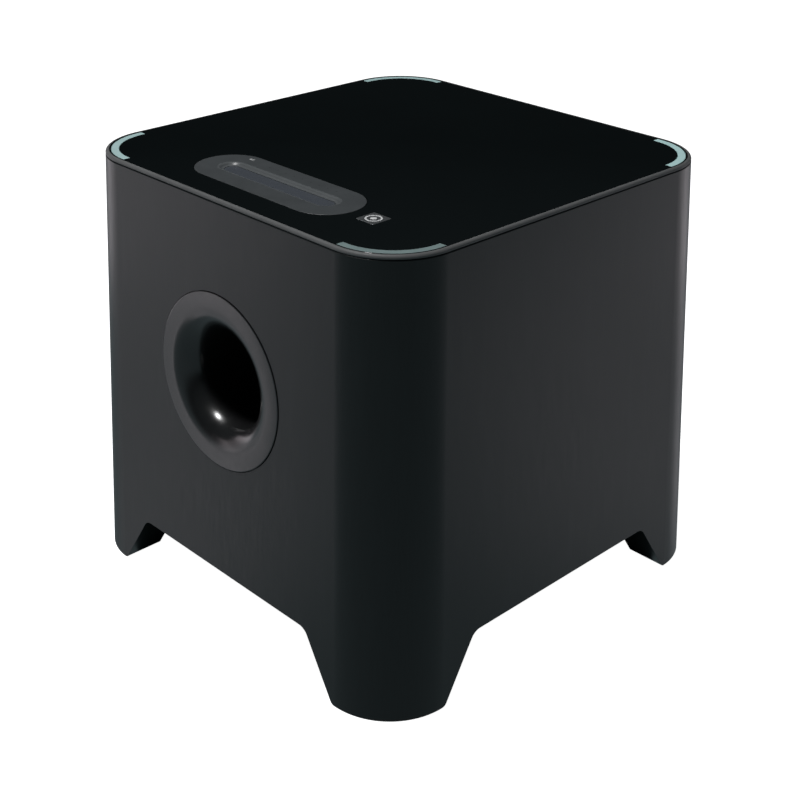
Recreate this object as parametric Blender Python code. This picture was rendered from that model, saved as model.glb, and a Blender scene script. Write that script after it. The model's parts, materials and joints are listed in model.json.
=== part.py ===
"""A down-firing active subwoofer on four corner legs, in metres, +Z up.

The origin is on the floor below the cabinet's centre. The bass port faces -Y and the
amplifier faces +Y. Every piece is an object of its own. What moves: the cone with its
coil (slides along Z), the power rocker (turns), two knobs (turn) and the phase slider.
"""

import math

import bmesh
import bpy
from mathutils import Matrix

# ---------------------------------------------------------------- driving dimensions
BASE_W = 0.332  # outer width at the floor
TOP_W = 0.302  # outer width at the top
HEIGHT = 0.306
CORNER_R = 0.045  # outer corner radius at the top
WALL = 0.015  # MDF thickness
GAP = 0.0003  # clearance between pieces that touch
LEAN = math.atan((BASE_W - TOP_W) / 2 / HEIGHT)  # how far each wall leans in
CORNER_STEPS = 8  # sides of each rounded corner
ROUND = 24  # sides of a round piece
PORT_STEPS = 32

LEG_BOTTOM = 0.0005  # the pads stand this far out of the legs
PAD_T = 0.0020
PAD_R = 0.0120
PAD_PLACE = 0.1405
CUT_H = 0.044  # height of the cut-out between the legs
LEG_FOOT = 0.051  # leg width along each side at the floor
LEG_TOP = 0.077  # leg width along each side at the cut-out's top
LEG_THICK = 0.029  # each leg is an angle of this thickness round the well under the woofer
LEG_ROUND = 0.0045  # rounding of the leg's foot
CUT_FILLET = 0.009
CAVITY_BOTTOM = CUT_H - 0.0005
BAFFLE_BOTTOM = CAVITY_BOTTOM + GAP

SEAM_Z = 0.3034  # underside of the top frame's visible rim
RIM_ROUND = 0.0019
RIM_LIP = 0.0023  # rim width at the top
TOP_RECESS_Z = 0.3007  # the cabinet's top board
TRAY_INSET = 0.0028
TRAY_TOP = 0.3037
PANEL_TOP = 0.3058

CONTROL_CENTRE = (0.001, -0.1043)
CONTROL_SIZE = (0.1407, 0.0476)
GROOVE_TOP = (0.1105, 0.0190)
GROOVE_FLOOR = (0.1025, 0.0110)
SKIRT_SIZE = (0.121, 0.027)
STRIP_LAND = (0.1019, 0.0104)  # the part of the touch strip that rises into the groove
STRIP_LAND_TOP = 0.3042
LIGHT_INNER = 0.0362
LIGHT_OUTER = 0.0412
LIGHT_PAST = math.radians(3)  # how far a corner light runs past its quarter turn
BADGE_CENTRE = (0.088, -0.104)
BADGE_SIDE = 0.015

PORT_Z = 0.185
FLANGE_R = 0.0595
FLANGE_PROUD = 0.0007
FLARE_R = 0.0175  # fillet radius of the port's mouth
THROAT_R = 0.032
TUBE_WALL = 0.0025
PORT_LENGTH = 0.150

CUTOUT_R = 0.0935  # woofer opening in the baffle
FLANGE_OUTER = 0.1048  # woofer basket
SCREW_RING_R = 0.0995
COIL_R = 0.022

AMP_Z = 0.165  # height of the amplifier plate's centre
AMP_HALF = 0.095
PLATE_FACE = -0.0047  # the plate's outer face, measured from the cabinet's rear face
PLATE_BACK = PLATE_FACE - 0.0025
KNOBS = {"level": (-0.045, 0.055), "crossover": (0.045, 0.055)}
PHASE_PLACE = (0.0, 0.055)
PHASE_TRAVEL = 0.004
JACKS = {"left": (-0.014, 0.008), "right": (0.014, 0.008)}
INLET_PLACE = (-0.055, -0.055)
SWITCH_PLACE = (-0.020, -0.055)
ROCKER_TILT = math.radians(7)
ROCKER_AXIS_Z = -0.0055
AMP_SCREW = 0.0912


# ---------------------------------------------------------------- outlines
def half_width(z, inset=0.0):
    """Half the cabinet's width at height z, less an inset."""
    return (BASE_W + (TOP_W - BASE_W) * z / HEIGHT) / 2 - inset


def corner_centre(z):
    """How far a corner's centre of rounding lies from the cabinet's middle, along X and Y."""
    return half_width(z) * (1 - 2 * CORNER_R / TOP_W)


def arc(radius, start, end, steps, centre=(0.0, 0.0)):
    turns = [start + (end - start) * i / steps for i in range(steps + 1)]
    return [(centre[0] + radius * math.cos(a), centre[1] + radius * math.sin(a)) for a in turns]


def cabinet_outline(z, inset=0.0):
    """The cabinet's rounded square at height z, anticlockwise."""
    middle = corner_centre(z)
    radius = half_width(z) - middle - inset
    points = []
    for i, (sx, sy) in enumerate(((1, 1), (-1, 1), (-1, -1), (1, -1))):
        start = i * math.pi / 2
        place = (sx * middle, sy * middle)
        points += arc(radius, start, start + math.pi / 2, CORNER_STEPS, place)
    return points


def stadium(size, centre=CONTROL_CENTRE, steps=8):
    """A slot with round ends, long along X, anticlockwise."""
    radius = size[1] / 2
    reach = size[0] / 2 - radius
    right = (centre[0] + reach, centre[1])
    left = (centre[0] - reach, centre[1])
    quarter = math.pi / 2
    return arc(radius, -quarter, quarter, steps, right) + arc(
        radius, quarter, 3 * quarter, steps, left
    )


def rectangle(width, height, centre=(0.0, 0.0)):
    x, y = width / 2, height / 2
    corners = ((-x, -y), (x, -y), (x, y), (-x, y))
    return [(centre[0] + i, centre[1] + j) for i, j in corners]


def circle(radius, centre=(0.0, 0.0), steps=ROUND):
    return arc(radius, 0, 2 * math.pi, steps, centre)[:-1]


def arc_band(inner, outer, start, end, centre, steps=9):
    """A band between two arcs about one centre, anticlockwise."""
    return arc(outer, start, end, steps, centre) + arc(inner, end, start, steps, centre)


def leg_channel():
    """The trapezoid between two legs as (across, z), with filleted corners above and below."""
    foot = BASE_W / 2 - LEG_FOOT
    top = half_width(CUT_H) - LEG_TOP
    side_normal = math.atan2(foot - top, CUT_H)
    tangent = CUT_FILLET * math.tan((math.pi / 2 - side_normal) / 2)
    centre = (top - tangent, CUT_H - CUT_FILLET)
    right = arc(CUT_FILLET, math.pi / 2, side_normal, 4, centre)
    lift = LEG_BOTTOM + LEG_ROUND
    across = foot + (LEG_ROUND - lift * math.sin(side_normal)) / math.cos(side_normal)
    flat = 0.15  # the rounding stops this far short of level, in radians
    right += arc(LEG_ROUND, side_normal + math.pi, 1.5 * math.pi - flat, 4, (across, lift))
    below = 0.002  # the tool starts this far under the floor
    x, z = right[-1]
    right.append((x + (z + below) / math.tan(flat), -below))
    return right + [(-x, z) for x, z in reversed(right)]


# ---------------------------------------------------------------- meshes
def finished_mesh(bm):
    bmesh.ops.recalc_face_normals(bm, faces=bm.faces)
    mesh = bpy.data.meshes.new("mesh")
    bm.to_mesh(mesh)
    bm.free()
    return mesh


def loft(rings, closed=False):
    """A mesh through rings of (outline, z). Closed rings make a tube wall, others get caps."""
    bm = bmesh.new()
    rows = [[bm.verts.new((x, y, z)) for x, y in outline] for outline, z in rings]
    pairs = list(zip(rows, rows[1:]))
    if closed:
        pairs.append((rows[-1], rows[0]))
    else:
        bm.faces.new(rows[0][::-1])
        bm.faces.new(rows[-1])
    for low, high in pairs:
        for i in range(len(low)):
            j = (i + 1) % len(low)
            bm.faces.new((low[i], low[j], high[j], high[i]))
    return finished_mesh(bm)


def prism(outline, low, high):
    return loft([(outline, low), (outline, high)])


def turned(profile, steps=ROUND):
    """A profile of (radius, z) spun round Z. One that starts on the axis isn't closed back."""
    bm = bmesh.new()
    verts = [bm.verts.new((radius, 0, z)) for radius, z in profile]
    edges = [bm.edges.new(pair) for pair in zip(verts, verts[1:])]
    if profile[0][0] > 0:
        edges.append(bm.edges.new((verts[-1], verts[0])))
    bmesh.ops.spin(
        bm, geom=verts + edges, cent=(0, 0, 0), axis=(0, 0, 1), angle=2 * math.pi, steps=steps
    )
    bmesh.ops.remove_doubles(bm, verts=bm.verts, dist=1e-6)
    bmesh.ops.dissolve_degenerate(bm, edges=bm.edges, dist=1e-7)
    return finished_mesh(bm)


def ring(inner, outer, low, high, steps=ROUND):
    return turned([(outer, low), (outer, high), (inner, high), (inner, low)], steps)


def disc(radius, low, high, steps=ROUND):
    return turned([(0, low), (radius, low), (radius, high), (0, high)], steps)


def run_along_x(profile, half_length):
    """A profile of (y, z) extruded along X, both ways."""
    mesh = prism(profile, -half_length, half_length)
    mesh.transform(Matrix(((0, 0, 1, 0), (1, 0, 0, 0), (0, 1, 0, 0), (0, 0, 0, 1))))
    return mesh


def joined(meshes):
    """Several closed bodies in one mesh, for a cutting tool."""
    bm = bmesh.new()
    for mesh in meshes:
        bm.from_mesh(mesh)
    return finished_mesh(bm)


# ---------------------------------------------------------------- objects
def link(obj, parent=None, location=(0, 0, 0)):
    obj.location = location
    obj.parent = parent
    bpy.context.scene.collection.objects.link(obj)
    return obj


def add(name, mesh, finish, parent=None, location=(0, 0, 0)):
    """Puts a named, shaded piece in the scene."""
    mesh.name = name
    mesh.materials.append(finish)
    mesh.shade_smooth()
    mesh.set_sharp_from_angle(angle=math.radians(35))
    return link(bpy.data.objects.new(name, mesh), parent, location)


def cut(piece, mesh, parent=None):
    """Cuts a hidden tool, which stands in parent's frame, out of a piece."""
    tool = link(bpy.data.objects.new(piece.name + "_cutter", mesh), parent)
    tool.hide_render = True
    tool.display_type = "WIRE"
    boolean = piece.modifiers.new("cut", "BOOLEAN")
    boolean.operation = "DIFFERENCE"
    boolean.solver = "EXACT"
    boolean.object = tool


def face_frame(name, height, side):
    """An empty on a leaning wall, front (-1) or rear (1): +Z points out of it and +Y up it."""
    empty = bpy.data.objects.new(name, None)
    empty.rotation_euler = (math.pi / 2 - LEAN, 0, math.pi if side > 0 else 0)
    return link(empty, location=(0, side * half_width(height), height))


def material(name, colour, roughness, metallic=0.0):
    made = bpy.data.materials.new(name)
    made.use_nodes = True
    shader = made.node_tree.nodes["Principled BSDF"]
    shader.inputs["Base Color"].default_value = (*colour, 1)
    shader.inputs["Roughness"].default_value = roughness
    shader.inputs["Metallic"].default_value = metallic
    return made


def make_materials():
    looks = {
        "cabinet_black": ((0.030, 0.030, 0.032), 0.45, 0),
        "mdf": ((0.36, 0.25, 0.15), 0.85, 0),
        "gloss_black": ((0.004, 0.006, 0.006), 0.08, 0),
        "rim_black": ((0.030, 0.030, 0.031), 0.30, 0),
        "control_grey": ((0.045, 0.052, 0.056), 0.40, 0),
        "strip_grey": ((0.035, 0.037, 0.050), 0.30, 0),
        "light_teal": ((0.38, 0.58, 0.57), 0.30, 0),
        "badge_metal": ((0.35, 0.36, 0.37), 0.35, 1),
        "port_black": ((0.050, 0.050, 0.052), 0.40, 0),
        "cone_paper": ((0.020, 0.020, 0.020), 0.80, 0),
        "rubber": ((0.015, 0.015, 0.015), 0.70, 0),
        "black_steel": ((0.020, 0.020, 0.020), 0.45, 0),
        "zinc_steel": ((0.55, 0.55, 0.53), 0.35, 1),
        "ferrite": ((0.050, 0.050, 0.055), 0.70, 0),
        "copper": ((0.72, 0.35, 0.17), 0.30, 1),
        "spider_cloth": ((0.60, 0.42, 0.16), 0.90, 0),
        "foam": ((0.020, 0.020, 0.020), 0.95, 0),
        "wadding": ((0.75, 0.75, 0.72), 0.95, 0),
        "circuit_green": ((0.02, 0.16, 0.06), 0.45, 0),
        "aluminium": ((0.70, 0.70, 0.70), 0.30, 1),
        "black_plastic": ((0.020, 0.020, 0.020), 0.50, 0),
        "transformer_yellow": ((0.55, 0.42, 0.08), 0.50, 0),
        "capacitor_sleeve": ((0.02, 0.03, 0.08), 0.35, 0),
        "wire_black": ((0.030, 0.030, 0.030), 0.60, 0),
        "jack_plating": ((0.70, 0.60, 0.35), 0.25, 1),
    }
    return {name: material(name, *values) for name, values in looks.items()}


# ---------------------------------------------------------------- cabinet
def make_cabinet(look, front, rear):
    """The glued MDF carcass: four walls, the top board and the four legs."""
    bottom = LEG_BOTTOM
    top = SEAM_Z - GAP
    lip = RIM_LIP + 0.0002
    shell = add(
        "cabinet_shell",
        loft(
            [
                (cabinet_outline(bottom), bottom),
                (cabinet_outline(top), top),
                (cabinet_outline(top, lip), top),
                (cabinet_outline(top, lip), TOP_RECESS_Z),
            ]
        ),
        look["cabinet_black"],
    )
    ceiling = TOP_RECESS_Z - WALL
    cavity = [(cabinet_outline(z, WALL), z) for z in (CAVITY_BOTTOM, ceiling)]
    cut(shell, loft(cavity))
    channel_x = run_along_x(leg_channel(), BASE_W)
    channel_y = run_along_x(leg_channel(), BASE_W)
    channel_y.transform(Matrix.Rotation(math.pi / 2, 4, "Z"))
    cut(shell, channel_x)
    cut(shell, channel_y)
    well = [(cabinet_outline(z, LEG_THICK), z) for z in (-0.005, CAVITY_BOTTOM + 0.005)]
    cut(shell, loft(well))
    pad_recess = disc(PAD_R + GAP, -0.005, PAD_T + GAP, 20)
    for sx, sy in ((-1, -1), (1, -1), (-1, 1), (1, 1)):
        recess = pad_recess.copy()
        recess.transform(Matrix.Translation((sx * PAD_PLACE, sy * PAD_PLACE, 0)))
        cut(shell, recess)
    board_pocket = (CONTROL_SIZE[0] - 0.008, CONTROL_SIZE[1] - 0.006)
    cut(shell, prism(stadium(board_pocket), TOP_RECESS_Z - 0.0065, HEIGHT))
    counterbore = FLANGE_R + 0.0007
    port_hole = [(0, -0.030), (0.0515, -0.030), (0.0515, -0.0025), (counterbore, -0.0025)]
    cut(shell, turned(port_hole + [(counterbore, 0.010), (0, 0.010)], PORT_STEPS), front)
    rebate = AMP_HALF + 0.0005
    rear_cut = [
        (rectangle(0.174, 0.174), -0.030),
        (rectangle(0.174, 0.174), -0.009),
        (rectangle(2 * rebate, 2 * rebate), -0.009),
        (rectangle(2 * rebate, 2 * rebate), 0.010),
    ]
    cut(shell, loft(rear_cut), rear)
    cut(shell, joined(amp_screw_holes(0.0021, -0.0140, -0.0080)), rear)

    inset = WALL + GAP
    baffle_levels = (BAFFLE_BOTTOM, BAFFLE_BOTTOM + WALL)
    baffle = add(
        "bottom_baffle", loft([(cabinet_outline(z, inset), z) for z in baffle_levels]), look["mdf"]
    )
    cut(baffle, disc(CUTOUT_R, 0.030, 0.070))
    cut(baffle, joined(woofer_screw_holes(0.0022, 0.030, 0.0568)))

    brace_z = (0.1335, 0.1455)
    half = half_width(brace_z[1], WALL + GAP)
    brace = loft([(rectangle(2 * half, 0.048, (0, 0.036)), z) for z in brace_z])
    add("cabinet_brace", brace, look["mdf"])
    lining_top = ceiling - GAP
    lining = prism(rectangle(0.200, 0.130, (0, 0.005)), lining_top - 0.012, lining_top)
    add("damping_lining", lining, look["wadding"])


def make_foot_pads(look):
    """A rubber pad let into the flat end of each leg."""
    for name, sx, sy in (
        ("front_left", -1, -1),
        ("front_right", 1, -1),
        ("rear_left", -1, 1),
        ("rear_right", 1, 1),
    ):
        location = (sx * PAD_PLACE, sy * PAD_PLACE, 0)
        add("foot_pad_" + name, disc(PAD_R, 0, PAD_T, 20), look["rubber"], location=location)


# ---------------------------------------------------------------- top
def make_top(look):
    """The moulded top frame with its gloss panel, corner lights, badge and touch controls."""
    rim = [(RIM_ROUND * (1 - math.cos(a)), HEIGHT - RIM_ROUND * (1 - math.sin(a))) for a in
           (0, math.pi / 8, math.pi / 4, 3 * math.pi / 8, math.pi / 2)]
    levels = [(TRAY_INSET, TOP_RECESS_Z + GAP), (TRAY_INSET, SEAM_Z), (0, SEAM_Z), *rim]
    levels += [(RIM_LIP, HEIGHT), (RIM_LIP, TRAY_TOP)]
    frame = add(
        "top_frame",
        loft([(cabinet_outline(z, inset), z) for inset, z in levels]),
        look["rim_black"],
    )
    window = (SKIRT_SIZE[0] + 0.0006, SKIRT_SIZE[1] + 0.0006)
    cut(frame, prism(stadium(window), 0.300, HEIGHT))

    panel_bottom = TRAY_TOP + GAP
    panel_outline = cabinet_outline(PANEL_TOP, RIM_LIP + GAP)
    panel = add("top_panel", prism(panel_outline, panel_bottom, PANEL_TOP), look["gloss_black"])
    opening = (CONTROL_SIZE[0] + 2 * GAP, CONTROL_SIZE[1] + 2 * GAP)
    cut(panel, prism(stadium(opening), 0.300, 0.320))
    badge_pocket = BADGE_SIDE + 2 * GAP
    pocket = rectangle(badge_pocket, badge_pocket, BADGE_CENTRE)
    cut(panel, prism(pocket, PANEL_TOP - 0.0010, 0.320))

    middle = corner_centre(HEIGHT)
    past_gap = GAP / LIGHT_INNER
    slots = []
    for i, (name, sx, sy) in enumerate(
        (("rear_right", 1, 1), ("rear_left", -1, 1), ("front_left", -1, -1), ("front_right", 1, -1))
    ):
        place = (sx * middle, sy * middle)
        start = i * math.pi / 2 - LIGHT_PAST
        end = (i + 1) * math.pi / 2 + LIGHT_PAST
        band = arc_band(LIGHT_INNER, LIGHT_OUTER, start, end, place)
        light = prism(band, panel_bottom, PANEL_TOP)
        add("corner_light_" + name, light, look["light_teal"])
        radii = (LIGHT_INNER - GAP, LIGHT_OUTER + GAP)
        slot = arc_band(*radii, start - past_gap, end + past_gap, place)
        slots.append(prism(slot, 0.300, 0.320))
    cut(panel, joined(slots))

    badge = prism(rectangle(BADGE_SIDE, BADGE_SIDE, BADGE_CENTRE), PANEL_TOP - 0.0007, PANEL_TOP)
    add("emblem_badge", badge, look["badge_metal"])

    skirt_bottom = TRAY_TOP - 0.0012
    bezel = [
        (SKIRT_SIZE, skirt_bottom),
        (SKIRT_SIZE, panel_bottom),
        (CONTROL_SIZE, panel_bottom),
        (CONTROL_SIZE, HEIGHT - 0.0003),
        ((CONTROL_SIZE[0] - 0.0006, CONTROL_SIZE[1] - 0.0006), HEIGHT),
        (GROOVE_TOP, HEIGHT),
        (GROOVE_FLOOR, STRIP_LAND_TOP),
        (GROOVE_FLOOR, skirt_bottom),
    ]
    levels = [(stadium(size), z) for size, z in bezel]
    add("control_panel", loft(levels, closed=True), look["control_grey"])
    strip_top = skirt_bottom - GAP
    base = stadium((0.116, 0.024))
    land = stadium(STRIP_LAND)
    strip = [(base, TOP_RECESS_Z + GAP), (base, strip_top), (land, strip_top)]
    strip.append((land, STRIP_LAND_TOP))
    add("touch_strip", loft(strip), look["strip_grey"])
    board_bottom = TOP_RECESS_Z - 0.0060
    board = prism(rectangle(0.100, 0.032, CONTROL_CENTRE), board_bottom, board_bottom + 0.0016)
    add("control_board", board, look["circuit_green"])


# ---------------------------------------------------------------- bass port
def make_port(look, front):
    """A flared flange let into the front wall, a straight tube and a flared inner end."""
    mouth = THROAT_R + FLARE_R
    back = FLANGE_PROUD - FLARE_R
    steps = [math.pi / 2 * i / 6 for i in range(7)]
    flare = [(mouth - FLARE_R * math.cos(a), back + FLARE_R * math.sin(a)) for a in steps]
    socket = back - 0.012
    profile = [
        (THROAT_R, socket),
        *flare,
        (FLANGE_R - 0.0005, FLANGE_PROUD),
        (FLANGE_R, FLANGE_PROUD - 0.0005),
        (FLANGE_R, -0.0022),
        (0.0510, -0.0022),
        (0.0470, -0.0080),
        (THROAT_R + 2 * TUBE_WALL, back - 0.001),
        (THROAT_R + TUBE_WALL, socket),
    ]
    add("port_flange", turned(profile[::-1], PORT_STEPS), look["port_black"], front)
    tube_end = -PORT_LENGTH + 0.015
    tube = ring(THROAT_R, THROAT_R + TUBE_WALL, tube_end, socket - GAP, PORT_STEPS)
    add("port_tube", tube, look["port_black"], front)
    end = [
        (THROAT_R, tube_end - GAP),
        (THROAT_R + 0.0015, -PORT_LENGTH + 0.007),
        (THROAT_R + 0.0055, -PORT_LENGTH + 0.002),
        (THROAT_R + 0.0120, -PORT_LENGTH),
        (THROAT_R + 0.0120, -PORT_LENGTH + TUBE_WALL),
        (THROAT_R + 0.0070, -PORT_LENGTH + 0.005),
        (THROAT_R + 0.0040, -PORT_LENGTH + 0.009),
        (THROAT_R + TUBE_WALL, tube_end - GAP),
    ]
    add("port_inner_flare", turned(end, PORT_STEPS), look["port_black"], front)


# ---------------------------------------------------------------- woofer
def woofer_screw_places():
    turns = [math.pi / 4 + i * math.pi / 2 for i in range(4)]
    return [(SCREW_RING_R * math.cos(a), SCREW_RING_R * math.sin(a)) for a in turns]


def woofer_screw_holes(radius, low, high):
    return [prism(circle(radius, place, 12), low, high) for place in woofer_screw_places()]


def make_woofer_frame(look):
    """The basket that hangs in the baffle, its gasket, screws and terminal."""
    profile = [
        (FLANGE_OUTER, 0.0392),
        (FLANGE_OUTER, 0.0412),
        (0.0915, 0.0412),
        (0.0890, 0.0520),
        (0.0680, 0.0790),
        (0.0575, 0.0800),
        (0.0560, 0.0990),
        (0.0250, 0.0990),
        (0.0250, 0.0975),
        (0.0545, 0.0975),
        (0.0560, 0.0785),
        (0.0670, 0.0775),
        (0.0875, 0.0515),
        (0.0880, 0.0392),
    ]
    basket = add("woofer_basket", turned(profile), look["black_steel"])
    windows = []
    for i in range(4):
        middle = math.pi / 2 * i
        band = arc_band(0.0640, 0.1000, middle - 0.55, middle + 0.55, (0, 0), 6)
        windows.append(prism(band, 0.0535, 0.0745))
    cut(basket, joined(windows))
    cut(basket, joined(woofer_screw_holes(0.0024, 0.030, 0.0500)))

    gasket = add("woofer_gasket", ring(0.0950, 0.1045, 0.0415, 0.0435), look["foam"])
    cut(gasket, joined(woofer_screw_holes(0.0024, 0.030, 0.0500)))
    screw = [(0, 0.0374), (0.0030, 0.0374), (0.0038, 0.0389), (0.0019, 0.0389)]
    for i, (x, y) in enumerate(woofer_screw_places()):
        mesh = turned(screw + [(0.0019, 0.0560), (0, 0.0560)], 12)
        add(f"woofer_screw_{i + 1}", mesh, look["black_steel"], location=(x, y, 0))
    terminal = prism(rectangle(0.016, 0.003, (0, 0.0602)), 0.0830, 0.0930)
    add("woofer_terminal", terminal, look["black_plastic"])


def make_woofer_motor(look):
    """Top plate, ferrite ring and yoke, which hold the coil's gap."""
    add("woofer_top_plate", ring(0.0237, 0.0500, 0.0993, 0.1053), look["zinc_steel"])
    add("woofer_magnet", ring(0.0320, 0.0570, 0.1056, 0.1236), look["ferrite"])
    yoke = [
        (0.0070, 0.0993),
        (0.0215, 0.0993),
        (0.0215, 0.1239),
        (0.0520, 0.1239),
        (0.0520, 0.1299),
        (0.0070, 0.1299),
    ]
    add("woofer_yoke", turned(yoke), look["zinc_steel"])


def make_woofer_cone(look):
    """The moving cone, dust cap, former and coil, with the surround and spider that hold them."""
    cone = [(0.0227, 0.0725), (0.0760, 0.0417), (0.0760, 0.0405), (0.0227, 0.0713)]
    add("woofer_cone", turned(cone), look["cone_paper"])
    cap = [(0, 0.0572), (0.0100, 0.0577), (0.0190, 0.0592), (0.0260, 0.0622), (0.0300, 0.0658)]
    cap += [(0.0290, 0.0661), (0.0255, 0.0631), (0.0187, 0.0600), (0.0100, 0.0585), (0, 0.0580)]
    add("woofer_dust_cap", turned(cap), look["cone_paper"])
    add("voice_coil_former", ring(COIL_R, COIL_R + 0.0004, 0.0700, 0.1100), look["aluminium"])
    add("voice_coil", ring(COIL_R + 0.0007, COIL_R + 0.0012, 0.0953, 0.1093), look["copper"])
    surround = [
        (0.0720, 0.0390),
        (0.0768, 0.0390),
        (0.0790, 0.0350),
        (0.0830, 0.0332),
        (0.0870, 0.0350),
        (0.0892, 0.0379),
        (0.0940, 0.0379),
        (0.0940, 0.0389),
        (0.0884, 0.0389),
        (0.0862, 0.0358),
        (0.0830, 0.0343),
        (0.0798, 0.0358),
        (0.0776, 0.0401),
        (0.0720, 0.0401),
    ]
    add("woofer_surround", turned(surround), look["rubber"])
    waves = 2
    inner, outer = COIL_R + 0.0007, 0.0640
    count = 4 * waves + 1
    wave = [
        (inner + (outer - inner) * i / (count - 1), 0.0760 + 0.0011 * math.sin(math.pi / 2 * i))
        for i in range(count)
    ]
    spider = wave + [(radius, z + 0.0006) for radius, z in reversed(wave)]
    add("woofer_spider", turned(spider), look["spider_cloth"])


# ---------------------------------------------------------------- amplifier
def amp_screw_places():
    return [(sx * AMP_SCREW, sy * AMP_SCREW) for sx in (-1, 1) for sy in (-1, 1)]


def amp_screw_holes(radius, low, high):
    return [prism(circle(radius, place, 12), low, high) for place in amp_screw_places()]


def make_amp_plate(look, rear):
    """The connector plate, its gasket and screws."""
    side = 2 * AMP_HALF
    gasket_top = PLATE_BACK - GAP
    outer, inner = rectangle(side - 0.0004, side - 0.0004), rectangle(0.175, 0.175)
    levels = [(outer, gasket_top - 0.0012), (outer, gasket_top), (inner, gasket_top)]
    levels.append((inner, gasket_top - 0.0012))
    gasket = add("amp_gasket", loft(levels, closed=True), look["foam"], rear)
    cut(gasket, joined(amp_screw_holes(0.0021, -0.020, 0.010)), rear)
    plate = prism(rectangle(side, side), PLATE_BACK, PLATE_FACE)
    plate = add("amp_plate", plate, look["black_steel"], rear)
    cut(plate, joined(amp_screw_holes(0.0021, -0.020, 0.010)), rear)
    openings = [rectangle(0.0278, 0.0208, INLET_PLACE), rectangle(0.0134, 0.0194, SWITCH_PLACE)]
    openings.append(rectangle(0.0096, 0.0052, PHASE_PLACE))
    openings += [circle(0.0038, place, 16) for place in KNOBS.values()]
    openings += [circle(0.0046, place, 16) for place in JACKS.values()]
    cut(plate, joined([prism(outline, -0.020, 0.010) for outline in openings]), rear)
    head = PLATE_FACE + GAP
    screw = [(0, head + 0.0020), (0.0030, head + 0.0020), (0.0036, head), (0.0017, head)]
    for i, (x, y) in enumerate(amp_screw_places()):
        mesh = turned(screw + [(0.0017, -0.0135), (0, -0.0135)], 12)
        add(f"amp_screw_{i + 1}", mesh, look["black_steel"], rear, (x, y, 0))


def make_amp_controls(look, rear):
    """Knobs with their potentiometers, the phase switch, power switch, jacks and inlet."""
    behind = PLATE_BACK - GAP
    face = PLATE_FACE + GAP
    for name, (x, y) in KNOBS.items():
        knob = [
            (0, face + 0.0100),
            (0.0080, face + 0.0100),
            (0.0088, face + 0.0092),
            (0.0095, face + 0.0012),
            (0.0095, face + 0.0002),
            (0.0030, face + 0.0002),
            (0.0030, behind - 0.0070),
            (0, behind - 0.0070),
        ]
        add(name + "_knob", turned(knob, 24), look["black_plastic"], rear, (x, y, 0))
        body = prism(rectangle(0.017, 0.017), behind - 0.010, behind)
        pot = add(name + "_potentiometer", body, look["zinc_steel"], rear, (x, y, 0))
        cut(pot, prism(circle(0.0034, (x, y), 16), behind - 0.0075, 0.010), rear)

    body = prism(rectangle(0.0160, 0.0100), behind - 0.0090, behind)
    x, y = PHASE_PLACE
    phase = add("phase_switch_body", body, look["zinc_steel"], rear, (x, y, 0))
    cut(phase, prism(rectangle(0.0092, 0.0046, PHASE_PLACE), behind - 0.0060, 0.010), rear)
    slider = prism(rectangle(0.0042, 0.0038), behind - 0.0057, face + 0.0022)
    add("phase_slider", slider, look["black_plastic"], rear, (x - PHASE_TRAVEL / 2, y, 0))

    for name, (x, y) in JACKS.items():
        jack = [
            (0, behind - 0.0120),
            (0.0041, behind - 0.0120),
            (0.0041, face),
            (0.0064, face),
            (0.0064, face + 0.0016),
            (0.0041, face + 0.0016),
            (0.0041, face + 0.0085),
            (0.0018, face + 0.0085),
            (0.0018, face - 0.0020),
            (0, face - 0.0020),
        ]
        add("line_jack_" + name, turned(jack, 20), look["jack_plating"], rear, (x, y, 0))

    inlet = [
        (rectangle(0.0272, 0.0202), -0.0240),
        (rectangle(0.0272, 0.0202), face),
        (rectangle(0.0310, 0.0240), face),
        (rectangle(0.0310, 0.0240), face + 0.0020),
        (rectangle(0.0240, 0.0170), face + 0.0020),
        (rectangle(0.0240, 0.0170), -0.0200),
    ]
    add("power_inlet", loft(inlet), look["black_plastic"], rear, (*INLET_PLACE, 0))

    bezel = [
        (rectangle(0.0128, 0.0188), -0.0200),
        (rectangle(0.0128, 0.0188), face),
        (rectangle(0.0150, 0.0210), face),
        (rectangle(0.0150, 0.0210), face + 0.0012),
        (rectangle(0.0096, 0.0160), face + 0.0012),
        (rectangle(0.0096, 0.0160), -0.0130),
    ]
    place = (*SWITCH_PLACE, 0)
    add("power_switch_body", loft(bezel), look["black_plastic"], rear, place)
    rocker = [
        (-0.0072, 0.0008),
        (-0.0072, 0.0038),
        (0.0, 0.0024),
        (0.0072, 0.0038),
        (0.0072, 0.0008),
        (0.0030, -0.0045),
        (-0.0030, -0.0045),
    ]
    mesh = run_along_x(rocker[::-1], 0.0044)
    place = (*SWITCH_PLACE, ROCKER_AXIS_Z)
    lever = add("power_rocker", mesh, look["black_plastic"], rear, place)
    lever.rotation_euler = (-ROCKER_TILT, 0, 0)


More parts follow.
